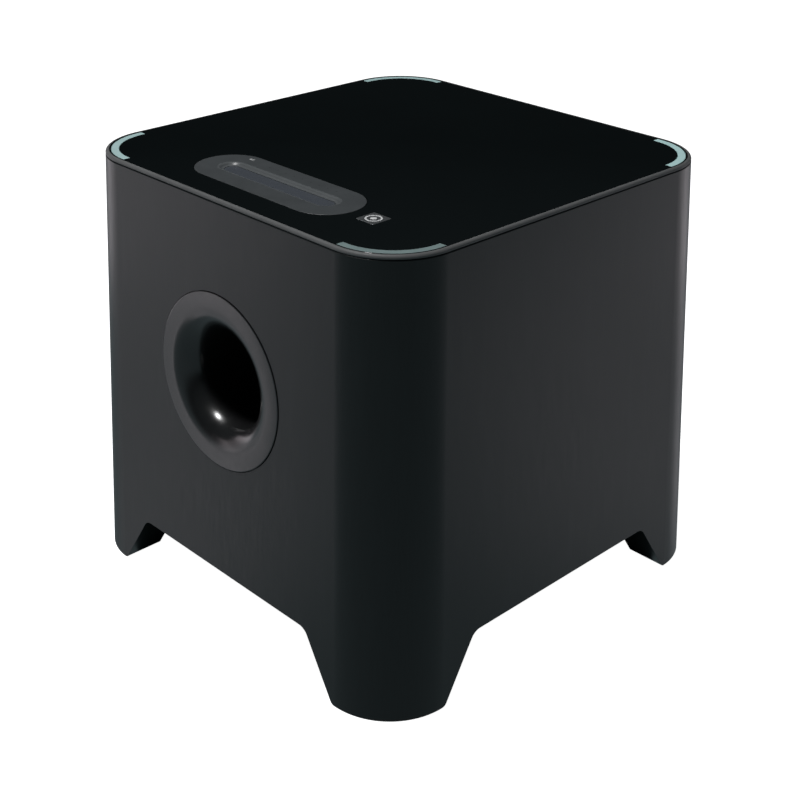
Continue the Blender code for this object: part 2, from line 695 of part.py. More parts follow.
def make_amp_electronics(look, rear):
    """Board, heat sink, toroidal transformer, capacitors and the lead to the woofer."""
    board = (-0.0240, -0.0224)
    outline = rectangle(0.150, 0.096, (0, 0.036))
    add("amp_board", prism(outline, *board), look["circuit_green"], rear)
    comb = [(0.0, 0.0)]
    fins, pitch, fin = 6, 0.0100, 0.0030
    for i in range(fins):
        comb += [(i * pitch, -0.0220), (i * pitch + fin, -0.0220)]
        if i < fins - 1:
            comb += [(i * pitch + fin, -0.0040), ((i + 1) * pitch, -0.0040)]
    comb.append(((fins - 1) * pitch + fin, 0.0))
    mesh = run_along_x(comb[::-1], 0.020)
    mesh.transform(Matrix.Rotation(math.pi / 2, 4, "Z"))
    sink_place = (0.072, 0.055, board[0] - GAP)
    add("amp_heat_sink", mesh, look["aluminium"], rear, sink_place)
    coil = [
        (0.0120, -0.0370),
        (0.0330, -0.0370),
        (0.0350, -0.0330),
        (0.0350, -0.0120),
        (0.0330, -0.0080),
        (0.0120, -0.0080),
    ]
    place = (0.044, -0.049, 0)
    add("power_transformer", turned(coil, 24), look["transformer_yellow"], rear, place)
    for i, x in enumerate((-0.050, -0.022)):
        can = disc(0.0110, board[0] - GAP - 0.030, board[0] - GAP, 20)
        add(f"filter_capacitor_{i + 1}", can, look["capacitor_sleeve"], rear, (x, 0.030, 0))


def make_wiring(look):
    """The two-core lead from the amplifier board down to the woofer's terminal."""
    route = (
        (0.0, 0.1330, 0.1560),
        (0.0, 0.1120, 0.1500),
        (0.0, 0.0980, 0.1300),
        (0.0, 0.0900, 0.1080),
        (0.0, 0.0790, 0.0920),
        (0.0, 0.0640, 0.0880),
    )
    curve = bpy.data.curves.new("wiring_harness", "CURVE")
    curve.dimensions = "3D"
    curve.bevel_depth = 0.0016
    curve.bevel_resolution = 2
    curve.use_fill_caps = True
    spline = curve.splines.new("POLY")
    spline.points.add(len(route) - 1)
    for point, place in zip(spline.points, route):
        point.co = (*place, 1)
    curve.materials.append(look["wire_black"])
    link(bpy.data.objects.new("wiring_harness", curve))


def main():
    for obj in list(bpy.data.objects):
        bpy.data.objects.remove(obj, do_unlink=True)
    look = make_materials()
    front = face_frame("front_face", PORT_Z, -1)
    rear = face_frame("rear_face", AMP_Z, 1)
    make_cabinet(look, front, rear)
    make_foot_pads(look)
    make_top(look)
    make_port(look, front)
    make_woofer_frame(look)
    make_woofer_motor(look)
    make_woofer_cone(look)
    make_amp_plate(look, rear)
    make_amp_controls(look, rear)
    make_amp_electronics(look, rear)
    make_wiring(look)


main()
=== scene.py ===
"""Looks of the powered subwoofer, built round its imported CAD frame, in metres, +Z up.

The bass port faces -Y and the amplifier faces +Y. Every visible CAD node is either replaced
by a finer piece that rides on the same body or keeps its shape and gets a finer material.
"""

import json
from math import atan, atan2, cos, exp, hypot, pi, radians, sin, tan

import bmesh
import bpy
from mathutils import Euler, Matrix, Vector


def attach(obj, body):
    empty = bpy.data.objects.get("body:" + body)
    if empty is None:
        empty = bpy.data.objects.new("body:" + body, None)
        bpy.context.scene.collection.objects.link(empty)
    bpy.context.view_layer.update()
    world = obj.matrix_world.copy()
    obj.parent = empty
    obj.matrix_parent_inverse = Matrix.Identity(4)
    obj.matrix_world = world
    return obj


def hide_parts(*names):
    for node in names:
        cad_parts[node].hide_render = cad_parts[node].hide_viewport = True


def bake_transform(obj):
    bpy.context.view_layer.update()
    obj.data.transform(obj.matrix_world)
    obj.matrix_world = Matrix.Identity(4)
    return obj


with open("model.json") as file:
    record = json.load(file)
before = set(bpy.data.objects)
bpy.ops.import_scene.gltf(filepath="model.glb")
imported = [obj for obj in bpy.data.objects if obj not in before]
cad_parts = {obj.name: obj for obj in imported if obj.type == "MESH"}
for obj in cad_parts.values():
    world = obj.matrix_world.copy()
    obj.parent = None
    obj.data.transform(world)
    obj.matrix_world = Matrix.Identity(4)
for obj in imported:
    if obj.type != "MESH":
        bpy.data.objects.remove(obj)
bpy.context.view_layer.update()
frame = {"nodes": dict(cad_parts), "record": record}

# ---- driving dimensions
BASE_W = 0.332
TOP_W = 0.302
HEIGHT = 0.306
CORNER_R = 0.045
WALL = 0.015
GAP = 0.0003  # between parts that don't touch
NEAR = 0.00001
LEAN = atan((BASE_W - TOP_W) / 2 / HEIGHT)
CORNER_STEPS = 20
END_STEPS = 24
ROUND = 96

LEG_BOTTOM = 0.0005
PAD_T = 0.002
PAD_R = 0.012
PAD_PLACE = 0.1405
CUT_H = 0.044
LEG_FOOT = 0.051
LEG_TOP = 0.077
LEG_THICK = 0.029
LEG_ROUND = 0.0045
CUT_FILLET = 0.009
CAVITY_BOTTOM = CUT_H - 0.0005
BAFFLE_BOTTOM = CAVITY_BOTTOM + GAP
LEG_EDGE = 0.0008  # rounding of the edges round the legs
ON_WALL = 0.00006  # a point this near the outer wall counts as on it
REAR_OPENING = 0.174
REBATE_DEPTH = 0.009

SEAM_Z = 0.3034
RIM_ROUND = 0.0019
RIM_LIP = 0.0023
TOP_RECESS_Z = 0.3007
TRAY_INSET = 0.0028
TRAY_TOP = 0.3037
PANEL_TOP = 0.3058
PANEL_BOTTOM = TRAY_TOP + GAP
SKIRT_BOTTOM = TRAY_TOP - 0.0012
TOP_CUT = (0.3, 0.32)  # heights between which a tool cuts through the panel

INK = 0.00004
CONTROL_TOP = HEIGHT - INK
CONTROL_CENTRE = (0.001, -0.1043)
CONTROL_SIZE = (0.1407, 0.0476)
GROOVE_TOP = (0.1105, 0.019)
GROOVE_FLOOR = (0.1025, 0.011)
SKIRT_SIZE = (0.121, 0.027)
STRIP_LAND = (0.1019, 0.0104)
STRIP_LAND_TOP = 0.3042
LIGHT_INNER = 0.0362
LIGHT_OUTER = 0.0412
LIGHT_PAST = radians(3)
BADGE_CENTRE = (0.088, -0.104)
BADGE_SIDE = 0.015

PORT_Z = 0.185
FLANGE_R = 0.0595
FLANGE_PROUD = 0.0007
FLARE_R = 0.0175
THROAT_R = 0.032
TUBE_WALL = 0.0025
PORT_LENGTH = 0.15

CUTOUT_R = 0.0935
FLANGE_OUTER = 0.1048
COIL_R = 0.022
SCREW_RING_R = 0.0995
CONE_NECK = (0.0227, 0.0725)
CONE_EDGE = (0.076, 0.0417)
SPIDER_R = 0.064
SPIDER_Z = 0.076

AMP_Z = 0.165
AMP_HALF = 0.095
AMP_CORNER = 0.004
PLATE_FACE = -0.0047
PLATE_BACK = PLATE_FACE - 0.0025
KNOBS = {"level": (-0.045, 0.055), "crossover": (0.045, 0.055)}
PHASE_PLACE = (0.0, 0.055)
PHASE_TRAVEL = 0.004
JACKS = {"left": (-0.014, 0.008), "right": (0.014, 0.008)}
INLET_PLACE = (-0.055, -0.055)
SWITCH_PLACE = (-0.02, -0.055)
ROCKER_TILT = radians(7)
ROCKER_AXIS_Z = -0.0055
AMP_SCREW = 0.0912
PLATE_CUT = (-0.02, 0.01)  # heights between which a tool cuts through the plate
DIAL_INK = 0.00005

# ---- camera
CAMERA_PLACE = (0.645603, -0.622905, 0.582357)
CAMERA_YAW = radians(45.85)
CAMERA_PITCH = radians(26.432)
CAMERA_ROLL = radians(0.498)
CAMERA_LENS = 62.442
CAMERA_SHIFT = -0.03

# ---- names and light
CORNERS = {"rear_right": (1, 1), "rear_left": (-1, 1), "front_left": (-1, -1),
           "front_right": (1, -1)}
CORNER_PAINTED_SHADE_AND_GLOW = {  # how pale each corner light is (a painted shade on the near one), and its painted glow
    "front_right": (0.55, 0.0), "front_left": (1.0, 0.12),
    "rear_right": (1.0, 0.22), "rear_left": (1.0, 0.12)
}
BOX_COLOUR = (1.06, 0.955, 1.005)
ROOM_COLOUR = (0.78, 1.0, 1.06, 1)
WAVE_PERIOD = 0.314  # metres between the bands of a wave texture of scale 1


# ---- outlines
def half_width(z):
    return (BASE_W + (TOP_W - BASE_W) * z / HEIGHT) / 2


def corner_centre(z):
    return half_width(z) * (1 - 2 * CORNER_R / TOP_W)


def arc(radius, start, end, steps, centre=(0.0, 0.0)):
    turns = [start + (end - start) * i / steps for i in range(steps + 1)]
    return [(centre[0] + radius * cos(a), centre[1] + radius * sin(a)) for a in turns]


def cabinet_outline(z, inset=0.0):
    """The cabinet's rounded square at height z, anticlockwise."""
    side = 2 * (half_width(z) - inset)
    return rectangle(side, side, corner=side / 2 - corner_centre(z), steps=CORNER_STEPS)


def shrunk(size, inset):
    return (size[0] - 2 * inset, size[1] - 2 * inset)


def stadium(size):
    """A slot with round ends in the middle of the controls, long along X, anticlockwise."""
    x, y = CONTROL_CENTRE
    radius = size[1] / 2
    reach = size[0] / 2 - radius
    right = arc(radius, -pi / 2, pi / 2, END_STEPS, (x + reach, y))
    return right + arc(radius, pi / 2, 3 * pi / 2, END_STEPS, (x - reach, y))


def rectangle(width, height, centre=(0.0, 0.0), corner=0.0, steps=5):
    """A rectangle, with rounded corners if corner is above 0, anticlockwise."""
    x, y = width / 2 - corner, height / 2 - corner
    points = []
    for i, (sx, sy) in enumerate(CORNERS.values()):
        place = (centre[0] + sx * x, centre[1] + sy * y)
        if corner:
            start = i * pi / 2
            points += arc(corner, start, start + pi / 2, steps, place)
        else:
            points.append(place)
    return points


def circle(radius, centre, steps):
    return arc(radius, 0, 2 * pi, steps, centre)[:-1]


def arc_band(inner, outer, start, end, centre, steps=36):
    """A band between two arcs about one centre, anticlockwise."""
    return arc(outer, start, end, steps, centre) + arc(inner, end, start, steps, centre)


def leg_channel():
    """The trapezoid between two legs as (across, z), with filleted corners above and below."""
    foot = BASE_W / 2 - LEG_FOOT
    top = half_width(CUT_H) - LEG_TOP
    side_normal = atan2(foot - top, CUT_H)
    tangent = CUT_FILLET * tan((pi / 2 - side_normal) / 2)
    centre = (top - tangent, CUT_H - CUT_FILLET)
    right = arc(CUT_FILLET, pi / 2, side_normal, 10, centre)
    lift = LEG_BOTTOM + LEG_ROUND
    across = foot + (LEG_ROUND - lift * sin(side_normal)) / cos(side_normal)
    flat = 0.15
    right += arc(LEG_ROUND, side_normal + pi, 1.5 * pi - flat, 8, (across, lift))
    below = 0.002
    x, z = right[-1]
    right.append((x + (z + below) / tan(flat), -below))
    return right + [(-x, z) for x, z in reversed(right)]


def rounding(radius, steps):
    """(inset, drop) pairs round a quarter circle, from the side wall up to the flat top."""
    turns = [pi / 2 * i / steps for i in range(steps + 1)]
    return [(radius * (1 - cos(a)), radius * (1 - sin(a))) for a in turns]


# ---- meshes
def finished_mesh(bm):
    bmesh.ops.recalc_face_normals(bm, faces=bm.faces)
    mesh = bpy.data.meshes.new("mesh")
    bm.to_mesh(mesh)
    bm.free()
    return mesh


def loft(rings, closed=False):
    """A mesh through rings of (outline, z). Closed rings make a tube wall, others get caps."""
    bm = bmesh.new()
    rows = [[bm.verts.new((x, y, z)) for x, y in outline] for outline, z in rings]
    pairs = list(zip(rows, rows[1:]))
    if closed:
        pairs.append((rows[-1], rows[0]))
    else:
        bm.faces.new(rows[0][::-1])
        bm.faces.new(rows[-1])
    for low, high in pairs:
        for i in range(len(low)):
            j = (i + 1) % len(low)
            bm.faces.new((low[i], low[j], high[j], high[i]))
    return finished_mesh(bm)


def prism(outline, low, high):
    return loft([(outline, low), (outline, high)])


def turned(profile, steps=ROUND):
    """A profile of (radius, z) spun round Z. One that starts on the axis isn't closed back."""
    bm = bmesh.new()
    verts = [bm.verts.new((radius, 0, z)) for radius, z in profile]
    edges = [bm.edges.new(pair) for pair in zip(verts, verts[1:])]
    if profile[0][0] > 0:
        edges.append(bm.edges.new((verts[-1], verts[0])))
    bmesh.ops.spin(
        bm, geom=verts + edges, cent=(0, 0, 0), axis=(0, 0, 1), angle=2 * pi, steps=steps
    )
    bmesh.ops.remove_doubles(bm, verts=bm.verts, dist=1e-6)
    bmesh.ops.dissolve_degenerate(bm, edges=bm.edges, dist=1e-7)
    return finished_mesh(bm)


def disc(radius, low, high, steps=ROUND):
    return turned([(0, low), (radius, low), (radius, high), (0, high)], steps)


def run_along_x(profile, half_length):
    """A profile of (y, z) extruded along X, both ways."""
    mesh = prism(profile, -half_length, half_length)
    mesh.transform(Matrix(((0, 0, 1, 0), (1, 0, 0, 0), (0, 1, 0, 0), (0, 0, 0, 1))))
    return mesh


def joined(meshes):
    """Several closed bodies in one mesh."""
    bm = bmesh.new()
    for mesh in meshes:
        bm.from_mesh(mesh)
        bpy.data.meshes.remove(mesh)
    return finished_mesh(bm)


def moved(mesh, place):
    mesh.transform(place)
    return mesh


def added(name, data):
    """A new object in the scene."""
    obj = bpy.data.objects.new(name, data)
    bpy.context.scene.collection.objects.link(obj)
    return obj


def carve(mesh, *tools):
    """The mesh with each tool cut out of it."""
    helpers = [added(f"carve_{i}", part) for i, part in enumerate((mesh, *tools))]
    for tool in helpers[1:]:
        boolean = helpers[0].modifiers.new("cut", "BOOLEAN")
        boolean.operation = "DIFFERENCE"
        boolean.solver = "EXACT"
        boolean.object = tool
    bpy.context.view_layer.update()
    graph = bpy.context.evaluated_depsgraph_get()
    result = bpy.data.meshes.new_from_object(helpers[0].evaluated_get(graph))
    for helper, part in zip(helpers, (mesh, *tools)):
        bpy.data.objects.remove(helper)
        bpy.data.meshes.remove(part)
    return result


def eased(mesh, width, wanted=lambda a, b: True, segments=2, angle=60):
    """The mesh with its sharp edges rounded, where wanted(end, end) says so."""
    bm = bmesh.new()
    bm.from_mesh(mesh)
    bmesh.ops.remove_doubles(bm, verts=bm.verts, dist=2e-6)
    edges = [
        edge for edge in bm.edges
        if len(edge.link_faces) == 2 and edge.calc_face_angle(0) > radians(angle)
        and wanted(edge.verts[0].co, edge.verts[1].co)
    ]
    bmesh.ops.bevel(
        bm, geom=edges, offset=width, offset_type="OFFSET", segments=segments, profile=0.5,
        affect="EDGES", clamp_overlap=True
    )
    bm.to_mesh(mesh)
    bm.free()
    return mesh


def face_place(height, side):
    """The place of a leaning wall, front (-1) or rear (1): +Z points out of it and +Y up it."""
    turn = Euler((pi / 2 - LEAN, 0, pi if side > 0 else 0))
    spot = Matrix.Translation((0, side * half_width(height), height))
    return spot @ turn.to_matrix().to_4x4()


FRONT = face_place(PORT_Z, -1)
REAR = face_place(AMP_Z, 1)


def at(x, y, z=0.0):
    return Matrix.Translation((x, y, z))


def build(name, mesh, look, stands_for=(), body="cabinet", angle=35, ride=True):
    """Puts a shaded piece in the scene, riding on a body in place of its CAD nodes."""
    mesh.name = name
    mesh.materials.clear()
    mesh.materials.append(look)
    mesh.shade_smooth()
    mesh.set_sharp_from_angle(angle=radians(angle))
    obj = added(name, mesh)
    if ride:
        weighted = obj.modifiers.new("even shading", "WEIGHTED_NORMAL")
        weighted.keep_sharp = True
        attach(obj, body)
    if stands_for:
        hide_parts(*stands_for)
    return obj


# ---- material tools
def add_node(tree, kind, inputs=None, **settings):
    """A shader node with its settings, and each input set or linked to another's output."""
    node = tree.nodes.new("ShaderNode" + kind)
    for key, value in settings.items():
        setattr(node, key, value)
    for socket, value in (inputs or {}).items():
        if isinstance(value, bpy.types.NodeSocket):
            tree.links.new(value, node.inputs[socket])
        else:
            node.inputs[socket].default_value = value
    return node


class Surface:
    """A procedural material being made: a Principled shader and the nodes that feed it."""

    def __init__(self, name, colour, roughness, metallic=0.0, specular=0.5, coat=0.0):
        self.material = bpy.data.materials.new(name)
        self.material.use_nodes = True
        self.tree = self.material.node_tree
        self.shader = self.tree.nodes["Principled BSDF"]
        self.colour = colour
        self.roughness = roughness
        self.set("Base Color", (*colour, 1))
        self.set("Roughness", roughness)
        self.set("Metallic", metallic)
        self.set("Specular IOR Level", specular)
        self.set("Coat Weight", coat)

    def set(self, socket, value):
        self.shader.inputs[socket].default_value = value

    def link(self, output, socket):
        self.tree.links.new(output, self.shader.inputs[socket])

    def coordinates(self, stretch=(1, 1, 1)):
        """Object coordinates in metres, multiplied by stretch along each axis."""
        place = add_node(self.tree, "TexCoord").outputs["Object"]
        inputs = {"Vector": place, "Scale": stretch}
        return add_node(self.tree, "Mapping", inputs).outputs["Vector"]

    def noise(self, size, detail=3.0, roughness=0.55, stretch=(1, 1, 1)):
        """Noise whose blobs are about size metres across."""
        inputs = {"Scale": 1 / size, "Detail": detail, "Roughness": roughness,
                  "Vector": self.coordinates(stretch)}
        return add_node(self.tree, "TexNoise", inputs).outputs["Fac"]

    def cells(self, size, feature="F1"):
        inputs = {"Scale": 1 / size, "Vector": self.coordinates()}
        return add_node(self.tree, "TexVoronoi", inputs, feature=feature).outputs["Distance"]

    def bands(self, pitch, axis, profile="SIN", distortion=0.0):
        scale = WAVE_PERIOD / pitch
        inputs = {"Scale": scale, "Distortion": distortion, "Vector": self.coordinates()}
        made = add_node(self.tree, "TexWave", inputs, wave_profile=profile, bands_direction=axis)
        return made.outputs["Fac"]

    def mixed(self, first, second, operation="MULTIPLY"):
        inputs = {0: first, 1: second}
        return add_node(self.tree, "Math", inputs, operation=operation).outputs[0]

    def colours(self, factor, low, high, start=0.3, end=0.7):
        """The base colour runs from low to high as the factor does from start to end."""
        made = add_node(self.tree, "ValToRGB", {"Fac": factor})
        for stop, place, colour in zip(made.color_ramp.elements, (start, end), (low, high)):
            stop.position = place
            stop.color = (*colour, 1)
        self.link(made.outputs["Color"], "Base Color")

    def tint(self, factor, swing):
        """The base colour varies by a share of itself."""
        low, high = ([c * share for c in self.colour] for share in (1 - swing, 1 + swing))
        self.colours(factor, low, high)

    def gloss(self, factor, swing):
        """The roughness varies by a share of itself."""
        inputs = {"Value": factor, "From Min": 0.3, "From Max": 0.7,
                  "To Min": self.roughness * (1 - swing), "To Max": self.roughness * (1 + swing)}
        self.link(add_node(self.tree, "MapRange", inputs).outputs["Result"], "Roughness")

    def relief(self, height, depth, strength=1.0):
        """Bumps of that depth in metres, on top of any relief already there."""
        inputs = {"Strength": strength, "Distance": depth, "Height": height}
        socket = self.shader.inputs["Normal"]
        if socket.is_linked:
            inputs["Normal"] = socket.links[0].from_socket
        self.link(add_node(self.tree, "Bump", inputs).outputs["Normal"], "Normal")

    def finished(self, tint, gloss, *reliefs):
        """The material, with colour, roughness and relief tied to (pattern, amount) pairs."""
        self.tint(*tint)
        self.gloss(*gloss)
        for relief in reliefs:
            self.relief(*relief)
        return self.material


# ---- materials
def wrap_look():
    """Satin black wrap: a fine embossed grain with faint upright streaks."""
    s = Surface("cabinet_black", (0.0085, 0.0115, 0.012), 0.36)
    streaks = s.noise(0.0011, 4, stretch=(1, 1, 0.02))
    dye = s.mixed(streaks, s.noise(0.009, 2, stretch=(1, 1, 0.1)), "MAXIMUM")
    grain = s.noise(0.00045, 3)
    return s.finished((dye, 0.22), (streaks, 0.1), (grain, 0.000012), (streaks, 0.00001))


def gloss_look():
    """Mirror-gloss black acrylic with a faint haze of handling."""
    s = Surface("gloss_black", (0.0014, 0.0024, 0.0027), 0.06, specular=0.45)
    waves = s.noise(0.012, 2)
    return s.finished((s.noise(0.06, 2), 0.1), (s.noise(0.035), 0.3), (waves, 0.000002))


def moulding_look(name, colour, roughness, grain=0.0005, depth=0.00001, specular=0.5):
    """Moulded plastic: spark-eroded grain and slightly uneven gloss."""
    s = Surface(name, colour, roughness, specular=specular)
    return s.finished((s.noise(0.02), 0.08), (s.noise(0.006), 0.1), (s.noise(grain, 2), depth))


def strip_look():
    """Smoked touch strip with fine dots of a sensor film under it."""
    # The bluish tint is the strip's own; its lightness above the panel's is painted light against
    # the groove's shade.
    s = Surface("strip_grey", (0.072, 0.08, 0.096), 0.22, coat=0.4)
    s.colours(s.cells(0.0011), (0.066, 0.074, 0.09), (0.078, 0.086, 0.102), 0.2, 0.5)
    s.gloss(s.noise(0.01), 0.2)
    s.relief(s.noise(0.004), 0.000004)
    return s.material


def light_look(name, painted_shade, painted_glow):
    """Frosted pale teal light guide, its colour darkened by a painted shade and given a painted
    glow, both set for each corner.
    """
    s = Surface(name, (0.42 * painted_shade, 0.56 * painted_shade, 0.56 * painted_shade), 0.34, coat=0.2)
    s.set("Emission Color", (0.5, 0.86, 0.86, 1))
    s.set("Emission Strength", painted_glow)
    frost = s.noise(0.0006)
    return s.finished((s.noise(0.008), 0.06), (s.noise(0.002), 0.12), (frost, 0.000008))


def fibre_look(name, colour, roughness, noise, amounts, metallic=0.0):
    """Fibres, grit or lines: one pattern, with its amounts of colour, gloss and relief."""
    s = Surface(name, colour, roughness, metallic)
    pattern = s.noise(*noise)
    return s.finished(*((pattern, amount) for amount in amounts))


def metal_look(name, colour, roughness, brushed):
    """Metal with fine lines, closest together along the axis that brushed stretches."""
    lines = (0.0006, 4, 0.55, brushed)
    return fibre_look(name, colour, roughness, lines, (0.08, 0.25, 0.000006), 1.0)


def powder_look():
    """Black powder coat: pebbled, with a low sheen."""
    s = Surface("black_steel", (0.016, 0.016, 0.017), 0.48)
    pebbles = s.cells(0.0009, "SMOOTH_F1")
    return s.finished((s.noise(0.01), 0.12), (pebbles, 0.12), (pebbles, 0.00004, 0.6))


def rubber_look():
    s = Surface("rubber", (0.014, 0.014, 0.015), 0.62)
    s.set("Sheen Weight", 0.15)
    s.set("Sheen Roughness", 0.5)
    grain = s.noise(0.0007, 4)
    return s.finished((s.noise(0.006), 0.2), (s.noise(0.003), 0.12), (grain, 0.00003))


def cloth_look():
    """Woven cloth: two crossed sets of threads with uneven dye."""
    s = Surface("spider_cloth", (0.6, 0.42, 0.16), 0.9)
    s.set("Sheen Weight", 0.3)
    threads = s.mixed(s.bands(0.0009, "X"), s.bands(0.0009, "Y"), "MAXIMUM")
    dye = s.mixed(threads, s.noise(0.004))
    return s.finished((dye, 0.3), (s.noise(0.003), 0.05), (threads, 0.0002))


def foam_look(name, colour, cell=0.0008, depth=0.00025):
    """Open cells or loose fibres with soft shading between them."""
    s = Surface(name, colour, 0.95)
    s.set("Sheen Weight", 0.2)
    cells = s.cells(cell)
    return s.finished((s.noise(cell * 3, 4), 0.25), (cells, 0.03), (cells, depth))


def winding_look(name, colour, pitch, axis="Z", metallic=1.0, roughness=0.32):
    """Turns of wire or tape laid side by side."""
    s = Surface(name, colour, roughness, metallic=metallic)
    turns = s.bands(pitch, axis)
    return s.finished((turns, 0.2), (s.noise(0.003), 0.2), (turns, pitch / 4))


def board_look():
    """Solder-masked laminate with tracks showing through."""
    s = Surface("circuit_green", (0.02, 0.16, 0.06), 0.42, coat=0.3)
    tracks = s.mixed(s.bands(0.004, "X", "SAW", 3), s.bands(0.005, "Z", "SAW", 3), "MAXIMUM")
    s.colours(tracks, (0.015, 0.11, 0.045), (0.03, 0.22, 0.09), 0.75, 0.85)
    s.gloss(s.noise(0.004), 0.15)
    s.relief(tracks, 0.00003)
    return s.material


def sleeve_look():
    s = Surface("capacitor_sleeve", (0.02, 0.03, 0.08), 0.35)
    creases = s.noise(0.003, 2)
    return s.finished((s.noise(0.006), 0.15), (s.noise(0.002), 0.15), (creases, 0.00004))


def make_looks():
    """Every material, by the name of its slot or of its corner light."""
    looks = [
        wrap_look(),
        fibre_look("mdf", (0.36, 0.25, 0.15), 0.85, (0.0012, 5, 0.55, (1, 3, 3)),
                   (0.3, 0.08, 0.0001)),
        gloss_look(),
        # The rim is black moulding; its light grey colour is a painted highlight along its rounded
        # edge.
        moulding_look("rim_black", (0.138, 0.141, 0.143), 0.52, specular=0.3),
        moulding_look("control_grey", (0.062, 0.068, 0.072), 0.42),
        # The groove wall is the panel's moulding made lighter: painted light on its walls.
        moulding_look("groove_grey_painted_light", (0.098, 0.106, 0.111), 0.38, depth=0.000004),
        strip_look(),
        metal_look("badge_metal", (0.35, 0.36, 0.37), 0.42, (1, 8, 1)),
        moulding_look("port_black", (0.012, 0.0125, 0.013), 0.23, depth=0.000003, specular=0.82),
        fibre_look("cone_paper", (0.018, 0.018, 0.019), 0.72, (0.001, 5, 0.7),
                   (0.35, 0.1, 0.00012)),
        rubber_look(),
        powder_look(),
        metal_look("zinc_steel", (0.55, 0.55, 0.53), 0.36, (1, 1, 6)),
        fibre_look("ferrite", (0.048, 0.048, 0.053), 0.66, (0.0006, 5, 0.75),
                   (0.3, 0.15, 0.00005)),
        winding_look("copper", (0.72, 0.35, 0.17), 0.0004),
        cloth_look(),
        foam_look("foam", (0.02, 0.02, 0.02)),
        foam_look("wadding", (0.75, 0.75, 0.72), 0.002, 0.0008),
        board_look(),
        metal_look("aluminium", (0.7, 0.7, 0.7), 0.32, (1, 1, 10)),
        moulding_look("black_plastic", (0.02, 0.02, 0.021), 0.46),
        winding_look("transformer_yellow", (0.55, 0.42, 0.08), 0.006, "X", 0.0, 0.5),
        sleeve_look(),
        moulding_look("wire_black", (0.028, 0.028, 0.03), 0.55, 0.0008),
        metal_look("jack_plating", (0.8, 0.62, 0.28), 0.24, (1, 6, 1)),
        moulding_look("ink_white", (0.72, 0.73, 0.73), 0.5),
        moulding_look("jack_red", (0.42, 0.02, 0.02), 0.4),
        moulding_look("jack_white", (0.62, 0.62, 0.6), 0.4),
        metal_look("pin_metal", (0.6, 0.59, 0.56), 0.3, (1, 6, 1)),
    ]
    # One copy of the light guide per corner, each with its own painted shade and painted glow.
    looks += [light_look("light_teal_" + place, *painted_glow) for place, painted_glow in CORNER_PAINTED_SHADE_AND_GLOW.items()]
    return {look.name.split(".")[0]: look for look in looks}


# ---- cabinet
def inset_of(point):
    """How far a point lies inside the cabinet's outer wall."""
    middle = corner_centre(point.z)
    x = max(abs(point.x) - middle, 0)
    y = max(abs(point.y) - middle, 0)
    return half_width(point.z) - middle - hypot(x, y)


def on_leg_edge(a, b):
    """Whether an edge lies on the outer wall, no higher than the cuts between the legs."""
    return max(a.z, b.z) < CUT_H + 0.001 and max(inset_of(a), inset_of(b)) < ON_WALL


def cabinet_block(inset, low, high):
    return loft([(cabinet_outline(z, inset), z) for z in (low, high)])


def make_cabinet(look):
    """The wrapped carcass with its four legs, and the board that carries the woofer."""
    top = SEAM_Z - GAP
    lip = RIM_LIP + 0.0002
    rings = [(cabinet_outline(LEG_BOTTOM), LEG_BOTTOM)]
    rings += [(cabinet_outline(top - d, i), top - d) for i, d in rounding(0.0006, 4)]
    rings += [(cabinet_outline(top, lip), top), (cabinet_outline(top, lip), TOP_RECESS_Z)]
    cavity = cabinet_block(WALL, CAVITY_BOTTOM, TOP_RECESS_Z - WALL)
    well = cabinet_block(LEG_THICK, -0.005, CAVITY_BOTTOM + 0.005)
    recess = [
        moved(disc(PAD_R + GAP, -0.005, PAD_T + GAP, 48), at(sx * PAD_PLACE, sy * PAD_PLACE))
        for sx, sy in CORNERS.values()
    ]
    across = run_along_x(leg_channel(), BASE_W)
    along = moved(run_along_x(leg_channel(), BASE_W), Matrix.Rotation(pi / 2, 4, "Z"))
    pocket = (CONTROL_SIZE[0] - 0.008, CONTROL_SIZE[1] - 0.006)
    pocket = prism(stadium(pocket), TOP_RECESS_Z - 0.0065, HEIGHT)
    bore = FLANGE_R + 0.0006
    hole = [(0, -0.03), (0.0515, -0.03), (0.0515, -0.0025), (bore, -0.0025)]
    hole = moved(turned(hole + [(bore, 0.01), (0, 0.01)]), FRONT)
    rebate = 2 * (AMP_HALF + 0.0005)
    inner = rectangle(REAR_OPENING, REAR_OPENING, corner=AMP_CORNER)
    outer = rectangle(rebate, rebate, corner=AMP_CORNER)
    levels = [(inner, -0.03), (inner, -REBATE_DEPTH), (outer, -REBATE_DEPTH), (outer, 0.01)]
    rear = moved(loft(levels), REAR)
    mesh = carve(loft(rings), cavity, well, across, along, pocket, hole, rear, joined(recess))
    mesh = eased(mesh, LEG_EDGE, on_leg_edge, segments=3, angle=25)
    build("cabinet_carcass", mesh, look["cabinet_black"], ["cabinet_shell"])

    baffle = cabinet_block(WALL + GAP, BAFFLE_BOTTOM, BAFFLE_BOTTOM + WALL)
    baffle = carve(baffle, disc(CUTOUT_R, 0.03, 0.07))
    build("woofer_board", baffle, look["cabinet_black"], ["bottom_baffle"])


def make_foot_pads(look):
    """A rubber pad with a rounded rim and a shallow ring, let into the end of each leg."""
    edge = [(PAD_R - i, d) for i, d in rounding(0.0004, 4)]
    profile = [(0, PAD_T), (PAD_R, PAD_T), *edge, (0.008, 0), (0.0075, 0.0003)]
    profile += [(0.0055, 0.0003), (0.005, 0), (0, 0)]
    for name in ("front_left", "front_right", "rear_left", "rear_right"):
        sx, sy = CORNERS[name]
        mesh = moved(turned(profile[::-1], 48), at(sx * PAD_PLACE, sy * PAD_PLACE))
        build("rubber_foot_" + name, mesh, look["rubber"], ["foot_pad_" + name])


